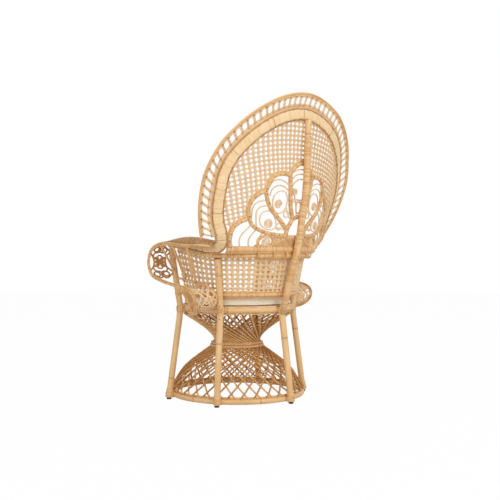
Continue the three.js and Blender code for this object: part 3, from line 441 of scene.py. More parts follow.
# Steel panel pins, darkened by the varnish and a little rust
STEEL, _, shader, _ = patchy("browned_steel_nail", 0.55, 240.0, 2.0,
                             [(0.3, "3A2414"), (0.6, "5A3A20"), (0.8, "7A5432")])
shader.inputs["Metallic"].default_value = 0.6
# Dark polyethylene, scuffed, so its gloss changes in patches
DARK_PLASTIC, tree, shader, scuff = patchy("dark_moulded_glide", 0.5, 350.0, 4.0,
                                           [(0.3, "3A2C24"), (0.6, "4A3A30"), (0.8, "5C4A3E")])
feed(tree, shader, "Roughness", maths(tree, "MULTIPLY_ADD", scuff, 0.4, 0.3))
SLOTS = {"peeled_pole": [POLE], "woven_core": [REED], "cushion_cloth": [CLOTH],
         "rattan_cane": [CANE, PAINTED_SHADE_CANE, LACE, STEEL], "dark_glide": [DARK_PLASTIC],
         "wrapped_core": [WOUND, BAND, PADDING, EDGE, SEAM]}
SLOTS = {material.name: slot for slot, group in SLOTS.items() for material in group}
print("finishes ready:", len(SLOTS))

# %% [markdown]
# ## Poles, rings and feet
# Five peeled poles stand round the seat. They lean in from the floor to the seat ring and out
# again to the arm rail, bent over a flame on the real chair, so a smooth path through a few
# measured points is enough. The thickness swells a little at each joint of the cane.

# %% Sizes shared by the whole chair
POLE_R, REAR_POLE_R = 0.0145, 0.0155
# How far the drawn poles stand proud of their solids
POLE_SKIN, REAR_SKIN = 0.0010, 0.0006
FOOT_R, SEAT_R, SEAT_Z = 0.360, 0.3005, 0.447
BASE_R, SEAT_RING_R = 0.3291, 0.2712
POLE_ANGLES = {"side_pole_left": 61, "side_pole_right": -61, "front_pole_left": 115,
               "front_pole_right": -115}
TUB_END = 118


def rail_radius(angle):
    return 0.346 + 0.0145 * np.cos(np.radians(angle)) ** 2


def rail_height(angle):
    """Level behind, then a smooth climb to the arm."""
    t = np.clip((np.abs(angle) - 61) / (TUB_END - 6 - 61), 0, 1)
    return 0.7065 + 0.053 * t * t * (3 - 2 * t)


def lower_rail_radius(angle):
    return 0.286 + 0.0185 * np.cos(np.radians(angle)) ** 2


def swelling(path, radius, share=0.05, every=0.33):
    """Radius that swells at each joint of the cane."""
    off = np.abs((distances(path) / every + 0.37) % 1 - 0.5) * every
    return radius * (1 - share * 0.4 + share * np.exp(-(off / 0.006) ** 2))


def pole_path(angle):
    # The bend at the seat is short, so three points close together shape it
    low = polar(angle, FOOT_R, 0.0085)
    seat = polar(angle, SEAT_R, SEAT_Z)
    top = polar(angle, rail_radius(angle), rail_height(angle) - 0.0135)
    below = [seat + share * (low - seat) for share in (0.5, 0.06)]
    above = [seat + share * (top - seat) for share in (0.08, 0.5)]
    return smooth_path([low, *below, *above, top], 70)


def rear_pole_path(count):
    """Places behind the axis and heights, measured from the photograph."""
    line = [(0.360, 0.0085), (0.331, 0.23), (0.3035, 0.42), (0.3035, 0.45), (0.3145, 0.470),
            (0.340, 0.543), (0.365, 0.639), (0.3904, 0.7065), (0.4105, 0.782), (0.426, 0.876),
            (0.445, 0.969), (0.456, 1.060), (0.461, 1.203), (0.4655, 1.33), (0.4657, 1.3415)]
    return smooth_path([(0, y, z) for y, z in line], count)


# %% Make the poles
for node, angle in POLE_ANGLES.items():
    path = pole_path(angle)
    skin = sweep(path, swelling(path, POLE_R + POLE_SKIN), 20, seed=angle + 200)
    make_piece(node + "_peeled", [skin], POLE, [node])
path = rear_pole_path(150)
skin = sweep(path, swelling(path, REAR_POLE_R + REAR_SKIN, 0.04), 24, seed=5)
make_piece("rear_pole_peeled", [skin], POLE, ["rear_pole"])

# %% [markdown]
# ## Rings and pedestal
# The round base, the seat ring and the tub's rails are poles bent to a circle. Between base
# and seat stand two crossing families of canes. Above the waist they are straight: straight
# lines turned round an axis give the waisted form of a hyperboloid by themselves. Below the
# waist they bow outwards to a bell and turn back the same way, so each half has its own path.

# %% Make the rings
def hoop(radius, height, thick, sides, seed=0):
    return sweep(circle(radius, height), thick, sides, closed=True, seed=seed)


make_piece("base_ring_peeled", [hoop(BASE_R, 0.021, 0.013, 16, 1)], POLE, ["base_ring"])
make_piece("seat_ring_peeled", [hoop(SEAT_RING_R, SEAT_Z, 0.0145, 16, 2)], POLE, ["seat_ring"])
thin_rings = [hoop(BASE_R - 0.002, 0.0385, 0.0045, 8, 3),
              hoop(SEAT_RING_R - 0.001, 0.4282, 0.004, 8, 4)]
make_piece("thin_cane_rings", thin_rings, CANE)

# %% Make the pedestal canes
CANES = 34
THROAT_R, THROAT_Z, CANE_END_Z, SPACING = 0.113, 0.277, 0.259, 0.0093


def turned_family(radius, turn, height, level, way):
    """One cane's radius, turn and height, repeated round the axis as its whole family."""
    start = 2 * np.pi * (np.arange(CANES) + level) / CANES
    angle = start[:, None] + way * turn[None]
    height = np.broadcast_to(height, angle.shape)
    return np.stack([radius * np.sin(angle), radius * np.cos(angle), height], -1)


def funnel_canes(level, way, inset):
    """Straight rulings: angle = atan(s / throat), radius = hypot(throat, s), and the height
    rises with s."""
    top_z = SEAT_Z - 0.0145 - 0.0045 - 0.0003 - SPACING
    reach = math.sqrt(SEAT_RING_R ** 2 - THROAT_R ** 2)
    climb = (top_z - THROAT_Z) / reach
    s = np.linspace(reach, (CANE_END_Z - THROAT_Z) / climb, 12)
    radius = np.hypot(THROAT_R, s)
    turn = np.arctan2(s, THROAT_R) - math.atan2(reach, THROAT_R)
    radius = radius - inset * np.sin(np.arctan2(climb * radius, np.abs(s)))
    return turned_family(radius, turn, THROAT_Z + climb * s, level, way)


# Radius and height of the dome of the outer canes, and how far they have turned from the foot
BELL = np.array([(0.329, 0.0388, 0.0), (0.3235, 0.052, 2.4), (0.311, 0.0675, 4.9),
                 (0.296, 0.089, 8.4), (0.2706, 0.127, 15.3), (0.2325, 0.165, 25.1),
                 (0.182, 0.203, 40.8), (0.147, 0.228, 56.0), (0.1172, 0.2497, 72.0)])


def bell_canes(level, way, inset):
    """Smooth profile of radius and height; the angle is looked up from the height."""
    profile = smooth_path(BELL[:, :2], 26)
    turn = np.radians(np.interp(profile[:, 1], BELL[:, 1], BELL[:, 2]))
    slope = unit(np.gradient(profile, axis=0))
    radius, height = (profile + inset * slope[:, ::-1] * (-1, 1)).T
    return turned_family(radius, turn, height, level, way)


# The inner families take the browner cane, painted shade for the shadow inside the pedestal
FAMILIES = [("funnel_outer", funnel_canes(0.0, 1, 0.0), CANE),
            ("funnel_inner", funnel_canes(0.5, -1, 0.0100), PAINTED_SHADE_CANE),
            ("bell_outer", bell_canes(0.5, 1, 0.0), CANE),
            ("bell_inner", bell_canes(0.0, -1, -0.0095), PAINTED_SHADE_CANE)]
for seed, (name, paths, material) in enumerate(FAMILIES, 11):
    make_piece(name + "_round_canes", [sweep(paths, 0.0043, 7, seed=seed)], material,
               [name + "_canes"])


# %% Twisted strands round the waist
def strands(radius, height, spread, turns, steps=240):
    """Three strands that wind round one another in a ring: each lies on a thin torus."""
    around = np.linspace(0, 2 * np.pi, steps, endpoint=False)
    phase = turns * around[None] + 2 * np.pi * np.arange(3)[:, None] / 3
    r, z = radius + spread * np.cos(phase), height + spread * np.sin(phase)
    return np.stack([r * np.sin(around), r * np.cos(around), z], -1)


waist = [sweep(strands(0.1305, 0.2555, 0.0042, 26), 0.0036, 7, closed=True, seed=15),
         sweep(strands(0.1275, 0.2685, 0.0032, 30), 0.0028, 7, closed=True, seed=16),
         hoop(0.1235, 0.2750, 0.0026, 7)]
make_piece("waist_strands", waist, WOUND, ["waist_hoop"])

# %% [markdown]
# ## Fan back
# The fan is one curved surface: upright along its middle line and coming forward at both
# sides, like a shallow bowl on edge. Every piece of the back is drawn in the plane of width
# and height and then laid on that surface, so they all stay together from any side.

# %% The fan's surface and outlines
# Height, how far the middle line lies behind the axis, and how far the sides come forward
FAN = np.array([(0.700, 0.360, 0.240), (0.735, 0.3685, 0.226), (0.770, 0.378, 0.190),
                (0.806, 0.386, 0.163), (0.850, 0.393, 0.156), (0.930, 0.405, 0.136),
                (1.000, 0.4155, 0.118), (1.085, 0.428, 0.108), (1.150, 0.431, 0.097),
                (1.200, 0.434, 0.0835), (1.250, 0.438, 0.0686), (1.300, 0.4435, 0.051),
                (1.3695, 0.450, 0.032), (1.470, 0.458, 0.026)])
HALF = 0.414
# Half width, top, widest height, foot, how far the foot draws in, and by what power
BAND_SHAPE = (HALF, 1.3695, 1.040, 0.735, 0.084, 2.3)
RIM_SHAPE = (0.512, 1.462, 1.045, 0.780, 0.084, 2)


def fan_depth(x, z):
    """Distance behind the axis: the middle line less its share of the square of the width."""
    return table(FAN, z, 1) - table(FAN, z, 2) * (x / HALF) ** 2


def fan_normal(x, z, e=1e-3):
    """Square to the surface, towards the rear, from differences of the depth."""
    dx = (fan_depth(x + e, z) - fan_depth(x - e, z)) / (2 * e)
    dz = (fan_depth(x, z + e) - fan_depth(x, z - e)) / (2 * e)
    return unit(np.stack([-dx, np.ones_like(dx), -dz], -1))


def on_fan(x, z, out=0.0):
    x, z = np.broadcast_arrays(np.asarray(x, float), np.asarray(z, float))
    return np.stack([x, fan_depth(x, z), z], -1) + np.asarray(out)[..., None] * fan_normal(x, z)


def outline(shape, start=None):
    """Half width falls in below the widest height as a power and closes above as a superellipse."""
    half, top, widest, foot, drop, power = shape
    z = np.linspace(foot if start is None else start, widest, 60, endpoint=False)
    lower = np.stack([half - drop * ((widest - z) / (widest - foot)) ** power, z], -1)
    t = np.linspace(0, np.pi / 2, 160)
    high = widest + (top - widest) * np.sin(t) ** (2 / 1.8)
    left = np.concatenate([lower, np.stack([half * np.cos(t) ** (2 / 1.8), high], -1)])
    return np.concatenate([left, (left * (-1, 1))[-2::-1]])


def stations(shape, count, start=None):
    """An outline's points at equal distances."""
    return even_path(outline(shape, start), np.linspace(0, 1, count))


def outset(xz, by):
    """Moved outwards in the plane of the outline."""
    way = unit(np.gradient(xz, axis=0))
    return xz + by * np.stack([way[:, 1], -way[:, 0]], -1)


def on_rim(xz):
    """The rim bends back by its own curve of the height, behind the fan's surface."""
    share = np.clip((xz[..., 1] - 0.780) / 0.682, 0, 1)
    depth = 0.190 + 0.287 * np.interp(share, [0, 0.39, 0.61, 0.9, 1], [0, 0.36, 0.57, 0.935, 1])
    return np.stack([xz[..., 0], depth, xz[..., 1]], -1)


def flat_section(depth, width, sides, power=3.2):
    """Rounded rectangle as a superellipse."""
    t = turns_of(sides)
    return np.stack([depth / 2 * squared(np.cos(t), 2 / power),
                     width / 2 * squared(np.sin(t), 2 / power)], -1)


# %% Make the wound band and its edge canes
def band_path():
    """The outline on the fan, continued at both feet by a bend forward along the tub's rail.
    The flat face is square to the fan, and turns to face straight outwards on the rail."""
    xz = stations(BAND_SHAPE, 301, 0.772)
    middle, face = on_fan(*xz.T), fan_normal(*xz.T)
    foot = middle[0]
    bend = smooth_path([middle[6], middle[3], foot, (0.3425, 0.2235, 0.7575),
                        (0.3350, 0.2000, 0.7475), (0.3290, 0.1600, 0.7440),
                        (0.3310, 0.1150, 0.7470), (0.3390, 0.0650, 0.7570),
                        (0.3450, 0.0250, 0.7660)], 70)
    bend = bend[np.argmax(bend[:, 2] < foot[2] - 0.001):]
    share = np.clip(np.arange(len(bend)) / 16, 0, 1)[:, None]
    bend_face = unit(face[:1] * (1 - share) + unit(bend * (1, 1, 0)) * share)
    flip = np.array([-1, 1, 1])
    path = np.concatenate([bend[::-1], middle, bend * flip])
    return path, np.concatenate([bend_face[::-1], face, bend_face * flip])


band_line, band_face = band_path()
band_side = unit(np.cross(unit(np.gradient(band_line, axis=0)), band_face))


def on_band(at, aside, out):
    """Beside the band's middle line and off its face, at some of its stations."""
    return band_line[at] + aside * band_side[at] + out * band_face[at]


core = sweep(band_line, 1.0, flat_section(0.022, 0.0485, 24), up=band_face, seed=21)
make_piece("fan_band_wound", [core], BAND, ["fan_band"])
ALL, SIDES = slice(None), (-1, 1)
edges = [sweep(on_band(ALL, side * 0.0252, out * 0.0078), 0.0016, 6, seed=3)
         for side in SIDES for out in SIDES]
make_piece("fan_band_edge_stitches", edges, EDGE)
seam_at = np.array([22, 62, 84, 132, 171, 206, 248, 292, 338, 372, 410])[:, None]
ring_way = flat_section(0.0226, 0.0492, 30)
seams = on_band(seam_at, ring_way[:, 1:], ring_way[:, :1])
make_piece("fan_band_seams", [sweep(seams, 0.0008, 5, closed=True)], SEAM)
edges = [sweep(on_band(ALL, side * 0.0268, 0.0), 0.0046, 8, seed=4) for side in SIDES]
make_piece("fan_band_edge_canes", edges, CANE)

# %% Make the rim
rim_xz = stations(RIM_SHAPE, 301)
rim = [sweep(on_rim(outset(rim_xz, by)), thick, 8, seed=seed)
       for by, thick, seed in ((0.0012, 0.0042, 22), (-0.0054, 0.0028, 23))]
make_piece("fan_rim_canes", rim, CANE, ["fan_rim"])

# %% Where the lace lies
LOOPS, LACE_FOOT = 51, 0.795
inner_xz = stations(BAND_SHAPE, 801, LACE_FOOT)
lace_normal = fan_normal(*inner_xz.T)
INNER = on_fan(*inner_xz.T)
INNER = INNER - 0.0325 * unit(np.cross(np.gradient(INNER, axis=0), lace_normal))
OUTER = on_rim(outset(stations(RIM_SHAPE, 801, LACE_FOOT), -0.0135))
spoke_at = np.arange(LOOPS + 1) / LOOPS


def on_lace(share, out):
    """Between the inner and the outer border: share of the way round, and of the way out."""
    share, out = np.broadcast_arrays(share, out)
    at = np.clip(share, 0, 1) * 800
    inner, outer = (between(at, np.arange(801), line) for line in (INNER, OUTER))
    return inner * (1 - out)[..., None] + outer * out[..., None]


def lace_normal_at(share):
    return lace_normal[np.round(share * 800).astype(int)]


def knots(out):
    """One small ring of thin cane round each pair of spokes, at a share of the way out."""
    centre, normal = on_lace(spoke_at, out), lace_normal_at(spoke_at)[:, None]
    aside = unit(np.cross(on_lace(spoke_at, out + 0.1) - centre, normal[:, 0]))[:, None]
    t = turns_of(12, 0)[:, None]
    return centre[:, None] + 0.0052 * np.cos(t) * aside + 0.0038 * np.sin(t) * normal


# %% Make the lace: windows, pairs of spokes, three borders and two braids
WINDOW_WIDE, WINDOW_AT, WINDOW_TALL, SPOKE_APART = 0.375, 0.625, 0.335, 0.055
turn = turns_of(24, 0)
across, up = squared(np.cos(turn), 0.6), squared(np.sin(turn), 0.6)
middle = (np.arange(LOOPS) + 0.5) / LOOPS
loops = on_lace(middle[:, None] + across * WINDOW_WIDE / LOOPS, WINDOW_AT + WINDOW_TALL * up)
inwards = loops.mean(1, keepdims=True) - loops
normal = unit(np.cross(np.roll(loops, -1, 1) - loops, inwards)).mean(1, keepdims=True)
lace = [sweep(loops, 0.0020, 6, up=normal, closed=True, seed=24)]
pair = np.array([-SPOKE_APART, SPOKE_APART]) / LOOPS
spokes = on_lace((spoke_at[:, None] + pair).reshape(-1, 1), np.linspace(0.02, 1.12, 8))
lace.append(sweep(spokes, 0.0021, 6, seed=25))
steps = np.linspace(0, 1, 1531)
for out, size in ((-0.03, 0.0028), (0.26, 0.0018), (1.0, 0.0017)):
    lace.append(sweep(on_lace(steps[::3], out), size, 7))
turn = 4 * np.pi * LOOPS * steps
off_lace = 0.0016 * np.sin(turn)[:, None] * lace_normal_at(steps)
for centre, depth, strand in ((0.12, 0.10, 0.0017), (1.07, 0.05, 0.0012)):
    for way in (1, -1):
        braid = on_lace(steps, centre + way * depth * np.cos(turn)) + way * off_lace
        lace.append(sweep(braid, strand, 5))
make_piece("fan_lace_loops", lace, LACE, ["fan_lace"])
rings = np.concatenate([knots(out) for out in (0.24, 0.985, 1.03)])
make_piece("fan_lace_knots", [sweep(rings, 0.0014, 5, closed=True)], EDGE)

# %% [markdown]
# ## Open weave
# The fan's field and the tub's walls are the same work: stakes of three reeds, crossed by
# rows of three reeds that pass in turn behind and in front of them. The reeds spread where
# they cross, which rounds the corners of the holes.

# %% Reeds of an open weave
def spread(turn, apart, share):
    """Three reeds side by side, pushed apart at each crossing by a narrow cosine bump."""
    return apart * np.array([[-1.0], [0.0], [1.0]]) * (1 + share * np.cos(turn) ** 8)


def over_under(lines, turn, wave, phase=0):
    """A cosine wave off the surface for the three reeds of each line; neighbours alternate."""
    order = (np.arange(lines)[:, None] + np.arange(3) + phase) % 2
    return wave * np.cos(turn + np.pi * order[..., None])


def lashings(x, z, place, across, up, out, strand):
    """Over each crossing two narrow closed loops lie cornerwise: across and up by a cosine, and
    in front of the reeds and behind them by a sine."""
    c, s = np.cos(turns_of(10)), np.sin(turns_of(10))
    loops = [place(x[:, None] + way * across * c, z[:, None] + up * c, out * s) for way in (1, -1)]
    return sweep(np.concatenate(loops), strand, 5, closed=True, seed=33)


# %% Where the fan's field is
SHELL_EDGE = np.array([(298, 741), (326, 779), (331, 821), (315, 850), (266, 880), (276, 917),
                       (269, 957), (243, 986), (206, 1003), (195, 1038), (160, 1078),
                       (125, 1084), (80, 1083), (54, 1117), (26, 1138), (0, 1143)]) / 1000
COLUMN, ROW = 0.0238, 0.0215
columns = COLUMN * (np.arange(-21, 21) + 0.5)
rows = 0.752 + ROW * np.arange(31)


def bearing(x, z):
    return np.arctan2(z - 0.800, np.abs(x))


def in_field(x, z):
    """Inside the band's inner edge and outside the shell, compared along rays from its centre."""
    band = outset(outline(BAND_SHAPE), -0.024)
    band = band[: len(band) // 2 + 1]
    shell = smooth_path(SHELL_EDGE, 120)
    far = lambda line, angle: np.interp(angle, bearing(*line.T),
                                        np.hypot(line[:, 0], line[:, 1] - 0.800))
    here, angle = np.hypot(x, z - 0.800), bearing(x, z)
    low = (z > 0.748) & (angle > bearing(0.330, 0.832))
    return (here < far(band, angle)) & (here > far(shell, angle) + 0.002) & low


def fanned(side, height, out):
    """The weave fans out upwards: a stake leans by a share of its place, and a row sinks with
    the square of it, so that the two stay about square to each other."""
    x = side * (1 + 0.8 * (height - 1.12))
    return on_fan(x, height - 0.43 * x**2, out)


def field_reeds(paths, strand, section, seed):
    """The parts of the reeds whose two ends both lie in the field."""
    paths = paths.reshape(-1, paths.shape[-2], 3)
    inside = in_field(paths[..., 0], paths[..., 2])
    return sweep(paths, strand, section, keep=inside[:, 1:] & inside[:, :-1], seed=seed)


# %% Weave the fan's field and lash its crossings
heights = np.arange(0.745, 1.43, ROW / 5)
turn = np.pi * (heights - rows[0]) / ROW
beside_stake = columns[:, None, None] + spread(turn, 0.00323, 0.5)
stakes = fanned(beside_stake, heights, over_under(len(columns), turn, 0.0024))
make_piece("fan_field_stakes", [field_reeds(stakes, 0.0017, 6, 31)], REED, ["fan_weave"])
widths = np.arange(-0.5, 0.5001, COLUMN / 6)
turn = np.pi * (widths - columns[0]) / COLUMN
beside_row = rows[:, None, None] + spread(turn, 0.00247, 0.8)
reeds = fanned(widths, beside_row, over_under(len(rows), turn, 0.0026, 1))
make_piece("fan_field_rows", [field_reeds(reeds, 0.0014, 5, 32)], REED)
gx, gz = (g.ravel() for g in np.meshgrid(columns, rows))
crossing = fanned(gx, gz, 0.0)
inside = in_field(crossing[:, 0], crossing[:, 2])
crossed = lashings(gx[inside], gz[inside], fanned, 0.0066, 0.0062, 0.0042, 0.0014)
make_piece("fan_field_lashings", [crossed], REED)

# %% [markdown]
# ## Shell ornament
# Seven petals open round a small hub, like a scallop shell. Their frames are thick cores wound
# with split cane and nailed where they meet. Finer canes repeat each arch inside, and a small
# coil, wound from one cane, sits in each petal as its eye.

# %% Lines of the ornament, as width and height in millimetres
ARCHES = [
    [(83, 1085), (58, 1114), (27, 1135), (0, 1141)],
    [(207, 1003), (197, 1037), (183, 1063), (160, 1078), (126, 1084), (80, 1083)],
    [(266, 876), (276, 915), (274, 941), (265, 964), (245, 985), (207, 1003)],
    [(298, 741), (318, 765), (329, 792), (330, 823), (315, 850), (290, 866), (266, 876)]]
DIVIDERS = [
    [(80, 1083), (68, 1014), (57, 945), (43, 903), (32, 881)],
    [(207, 1003), (197, 971), (181, 940), (161, 913), (136, 893), (110, 872), (82, 846), (60, 828)],
    [(266, 876), (247, 845), (217, 827), (181, 814), (138, 806), (81, 802), (61, 800)]]
HUB = [(64, 793), (66, 812), (58, 838), (41, 868), (22, 886), (0, 893)]
ARCS = [
    [(64, 1094), (37, 1108), (0, 1114)], [(66, 1060), (46, 1083), (0, 1092)],
    [(62, 1024), (44, 1054), (0, 1069)], [(58, 974), (30, 971), (0, 970)],
    [(57, 964), (30, 961), (0, 960)],
    [(192, 1022), (175, 1051), (133, 1057), (95, 1044), (76, 1029)],
    [(184, 981), (179, 1010), (157, 1027), (124, 1032), (90, 1017), (74, 1000)],
    [(255, 868), (259, 926), (241, 951), (205, 961), (198, 958)],
    [(228, 843), (237, 888), (237, 915), (221, 931), (185, 938)],
    [(250, 851), (270, 826), (284, 812), (289, 788), (280, 760), (262, 738)],
    [(226, 828), (247, 797), (248, 774), (238, 751), (221, 735)],
    [(190, 813), (209, 788), (208, 765), (190, 740)]]
STEMS = [
    [(84, 934), (60, 890), (38, 872)], [(126, 838), (92, 832), (62, 822)],
    [(130, 762), (95, 772), (63, 795)], [(37, 988), (20, 940), (8, 895)]]
OVALS = [
    [(165, 954), (162, 986), (137, 1005), (108, 1009), (87, 994), (79, 962), (84, 934),
     (93, 915), (130, 900), (156, 925)],
    [(204, 842), (218, 870), (214, 902), (187, 914), (160, 909), (138, 877), (126, 838),
     (165, 826)]]
MIDDLE_OVAL = [(12, 910), (18, 935), (12, 960), (-8, 960), (-13, 935), (-8, 910)]
FRAME_OVAL = [(196, 752), (205, 778), (184, 797), (156, 798), (134, 785), (130, 760),
              (146, 742), (176, 738)]
# Place, radius and level of each petal's eye, and place and radius of the small rings
EYES = [(37, 1007, 19, ""), (131, 945, 21, "upper_"), (172, 855, 22, "middle_"),
        (166, 768, 22, "lower_")]
RINGS = [(78, 901, 15), (113, 842, 15)]


def laid(points, count, closed=False):
    """A drawn line, smoothed and laid on the fan's surface, and the surface's normals there."""
    line = smooth_path(np.array(points, float) / 1000, count, closed)
    for _ in range(14):
        around = np.pad(line, ((1, 1), (0, 0)), "wrap" if closed else "edge")
        even = (around[:-2] + 2 * line + around[2:]) / 4
        if not closed:
            even[[0, -1]] = line[[0, -1]]
        line = even
    return on_fan(*line.T), fan_normal(*line.T)


def mirrored(points):
    return [(-x, z) for x, z in points]


def laid_on_both_sides(lines, count):
    """Each line and its mirror image; one that ends on the middle line is a single line across."""
    drawn = []
    for line in lines:
        crosses = line[-1][0] == 0
        drawn += [line + mirrored(line[-2::-1])] if crosses else [line, mirrored(line)]
    return [laid(points, count) for points in drawn]


# %% Make the wound frames
frame_section = flat_section(0.019, 0.0190, 14, 2.4)
oval_section = flat_section(0.015, 0.0135, 12, 2.2)
arch_lines = laid_on_both_sides(ARCHES, 50)
frame_lines = arch_lines + laid_on_both_sides(DIVIDERS + [HUB], 50)
frames = [sweep(path, 1.0, frame_section, up=normals, seed=seed)
          for seed, (path, normals) in enumerate(frame_lines)]
for oval in (mirrored(FRAME_OVAL), FRAME_OVAL):
    path, normals = laid(oval, 60, closed=True)
    frames.append(sweep(path, 1.0, oval_section, up=normals, closed=True, seed=len(frames)))
path, normals = laid([(70, 795), (0, 795), (-70, 795)], 24)
frames.append(sweep(path, 1.0, frame_section, up=normals))
beside_arch = []
for seed, (path, normals) in enumerate(arch_lines):
    away = unit(np.cross(np.gradient(path, axis=0), normals))
    away = away * np.sign((away * (path - (0, 0.4, 0.85))).sum())
    beside_arch.append(sweep(path + 0.0122 * away, 0.0038, 8, seed=seed))
make_piece("shell_arch_edge_canes", beside_arch, CANE)
make_piece("shell_frames_wound", frames, WOUND, ["fan_shell"])

# %% Make the fine canes inside the petals, and the close weave at the shell's foot
fine = [sweep(path, 0.0034, 7, seed=seed)
        for seed, (path, _) in enumerate(laid_on_both_sides(ARCS + STEMS, 36))]
for oval in (OVALS[0], mirrored(OVALS[0]), OVALS[1], mirrored(OVALS[1]), MIDDLE_OVAL):
    path, normals = laid(oval, 60, closed=True)
    fine.append(sweep(path, 0.0033, 7, up=normals, closed=True, seed=len(fine)))
turn = turns_of(28, 0)
for x, z, r in RINGS:
    for side in SIDES:
        path = on_fan((side * x + r * np.cos(turn)) / 1000, (z + r * np.sin(turn)) / 1000)
        fine.append(sweep(path, 0.0032, 7, closed=True, seed=x))
foot_x, foot_rows, STAKE = np.linspace(-0.132, 0.132, 89), np.arange(0.7495, 0.7940, 0.0054), 0.018
wave = 0.0016 * np.cos(np.pi * (foot_x / STAKE + np.arange(len(foot_rows))[:, None]))
stake_x = np.arange(-0.126, 0.1261, STAKE)
foot_weave = [sweep(on_fan(foot_x, foot_rows[:, None], wave), 0.0027, 6, seed=35),
              sweep(on_fan(stake_x[:, None], np.linspace(0.747, 0.795, 8)), 0.0020, 6, seed=36)]
make_piece("shell_foot_weave", foot_weave, WOUND)
make_piece("shell_fine_canes", fine, LACE)


# %% Wind the eyes
def coil(x, z, radius, strand=0.0030):
    """Spiral of Archimedes: radius grows by one strand a turn, so the turns lie side by side."""
    turns = radius / (2 * strand)
    t = np.linspace(0.35, turns, int(turns * 22))
    r = t * 2 * strand
    return on_fan(x + r * np.cos(2 * np.pi * t), z + r * np.sin(2 * np.pi * t), -0.001)


for x, z, r, level in EYES:
    for side, label in ((1, "left"), (-1, "right")) if level else ((1, "left"),):
        node = "petal_eye_" + (level + label if level else "middle")
        wound = sweep(coil(side * x / 1000, z / 1000, r / 1000), 0.0025, 7, seed=x)
        make_piece("eye_coil_%d_%d_%s" % (x, z, label), [wound], LACE, [node])

# %% [markdown]
# ## Tub
# The tub goes round the sitter from one arm to the other: two rails wound with split cane and
# an open weave between them. The rail climbs at both ends to meet the arm rests.

# %% Make the rails
def upper_rail(angles, inwards=0.0, down=0.0):
    return polar(angles, rail_radius(angles) - inwards, rail_height(angles) - down)


def lower_rail(out, height):
    angles = np.linspace(-111, 111, 161)
    return polar(angles, lower_rail_radius(angles) + out, height)


angles = np.linspace(-TUB_END, TUB_END, 181)
make_piece("tub_top_rail_wound", [sweep(upper_rail(angles), 0.0122, 16, seed=41)], WOUND,
           ["tub_top_rail"])
make_piece("tub_bottom_rail_wound", [sweep(lower_rail(0, 0.5215), 0.0092, 14, seed=42)], WOUND,
           ["tub_bottom_rail"])
rail_canes = [sweep(lower_rail(0.0012, 0.5352), 0.0036, 7),
              sweep(lower_rail(-0.004, 0.5092), 0.0030, 7),
              sweep(upper_rail(angles[4:-4], 0.0135, 0.0095), 0.0034, 7)]
make_piece("tub_rail_canes", rail_canes, CANE)

# %% Weave the tub's walls
WALL_COLUMN, WALL_FOOT, WALL_R = 4.75, 0.530, 0.32
wall_columns = WALL_COLUMN * (np.arange(-23, 23) + 0.5)
wall_levels = np.arange(1, 8) / 8


def wall_height(angle, share):
    return WALL_FOOT + share * (rail_height(angle) - WALL_FOOT)


def on_wall(angle, height, out):
    """Straight from the lower rail up to the upper one, leaning outwards."""
    share = (height - WALL_FOOT) / (rail_height(angle) - WALL_FOOT)
    low = lower_rail_radius(angle)
    return polar(angle, low + share * (rail_radius(angle) - 0.0157 - low) + out, height)


shares = np.linspace(0, 1, 37)
turn = np.pi * shares * 8
stakes = wall_columns[:, None, None] + spread(turn, math.degrees(0.0043 / WALL_R), 0.3)
paths = on_wall(stakes, wall_height(stakes, shares), over_under(46, turn, 0.0022))
WALLS = ["tub_rear_wall_left", "tub_rear_wall_right", "tub_side_wall_left", "tub_side_wall_right"]
make_piece("tub_wall_stakes", [sweep(paths.reshape(-1, 37, 3), 0.0024, 6, seed=43)], REED, WALLS)
around = np.arange(-110.5, 110.6, WALL_COLUMN / 6)
turn = np.pi * (around - wall_columns[0]) / WALL_COLUMN
height = wall_height(around, wall_levels[:, None, None]) + spread(turn, 0.0034, 0.5)
paths = on_wall(around, height, over_under(7, turn, 0.0030, 1)).reshape(-1, len(around), 3)
make_piece("tub_wall_rows", [sweep(paths, 0.0018, 5, seed=44)], REED)
gx, gz = (g.ravel() for g in np.meshgrid(wall_columns, wall_levels))
wall_place = lambda angle, share, out: on_wall(angle, wall_height(angle, share), out)
crossed = lashings(gx, gz, wall_place, math.degrees(0.0086 / WALL_R), 0.0066 / 0.18, 0.0048, 0.0016)
make_piece("tub_wall_lashings", [crossed], REED)

# %% [markdown]
# ## Scrolled arms
# Each arm is an S of cane beside the seat: it comes forward under the pad, rolls round to a
# scroll, sweeps back and then bends in under the seat. A second cane follows it closer in,
# three struts hold the two apart, and crossed canes with looped ends fill the gaps.

# %% Paths of the arm, in millimetres on the sitter's left
RIM_TOP = [(386, 203, 750), (420, 172, 755), (430, 80, 757), (430, -25, 766)]
RIM_BACK = [(430, -10, 568), (430, 60, 557), (430, 115, 540), (425, 137, 510), (410, 130, 475),
            (380, 100, 450), (350, 58, 440), (326, 10, 420), (304, -28, 423), (283, -50, 445)]
RAIL = [(296, -129, 600), (307, -100, 597), (318, -37, 591), (319, 37, 573), (308, 95, 563),
        (300, 130, 545), (296, 153, 510), (294, 138, 474), (286, 108, 453), (276, 82, 447)]
STRUTS = [((430, -101, 766), (307, -106, 599)), ((430, -12, 765), (319, -37, 591)),
          ((430, 88, 757), (319, 37, 574))]
SCROLL_R, SCROLL_Y, SCROLL_Z = 89, -98, 677
ROLL = [(430, SCROLL_Y - SCROLL_R * math.cos(math.radians(t)),
         SCROLL_Z + SCROLL_R * math.sin(math.radians(t))) for t in (90, 45, 0, -45, -90)]


def metres(points, count):
    return smooth_path(np.array(points) / 1000, count)


def beside(path, inwards):
    """Parallel path: moved towards the inside of the bend."""
    return path + inwards * unit(np.cross(unit(np.gradient(path, axis=0)), (1.0, 0.0, 0.0)))


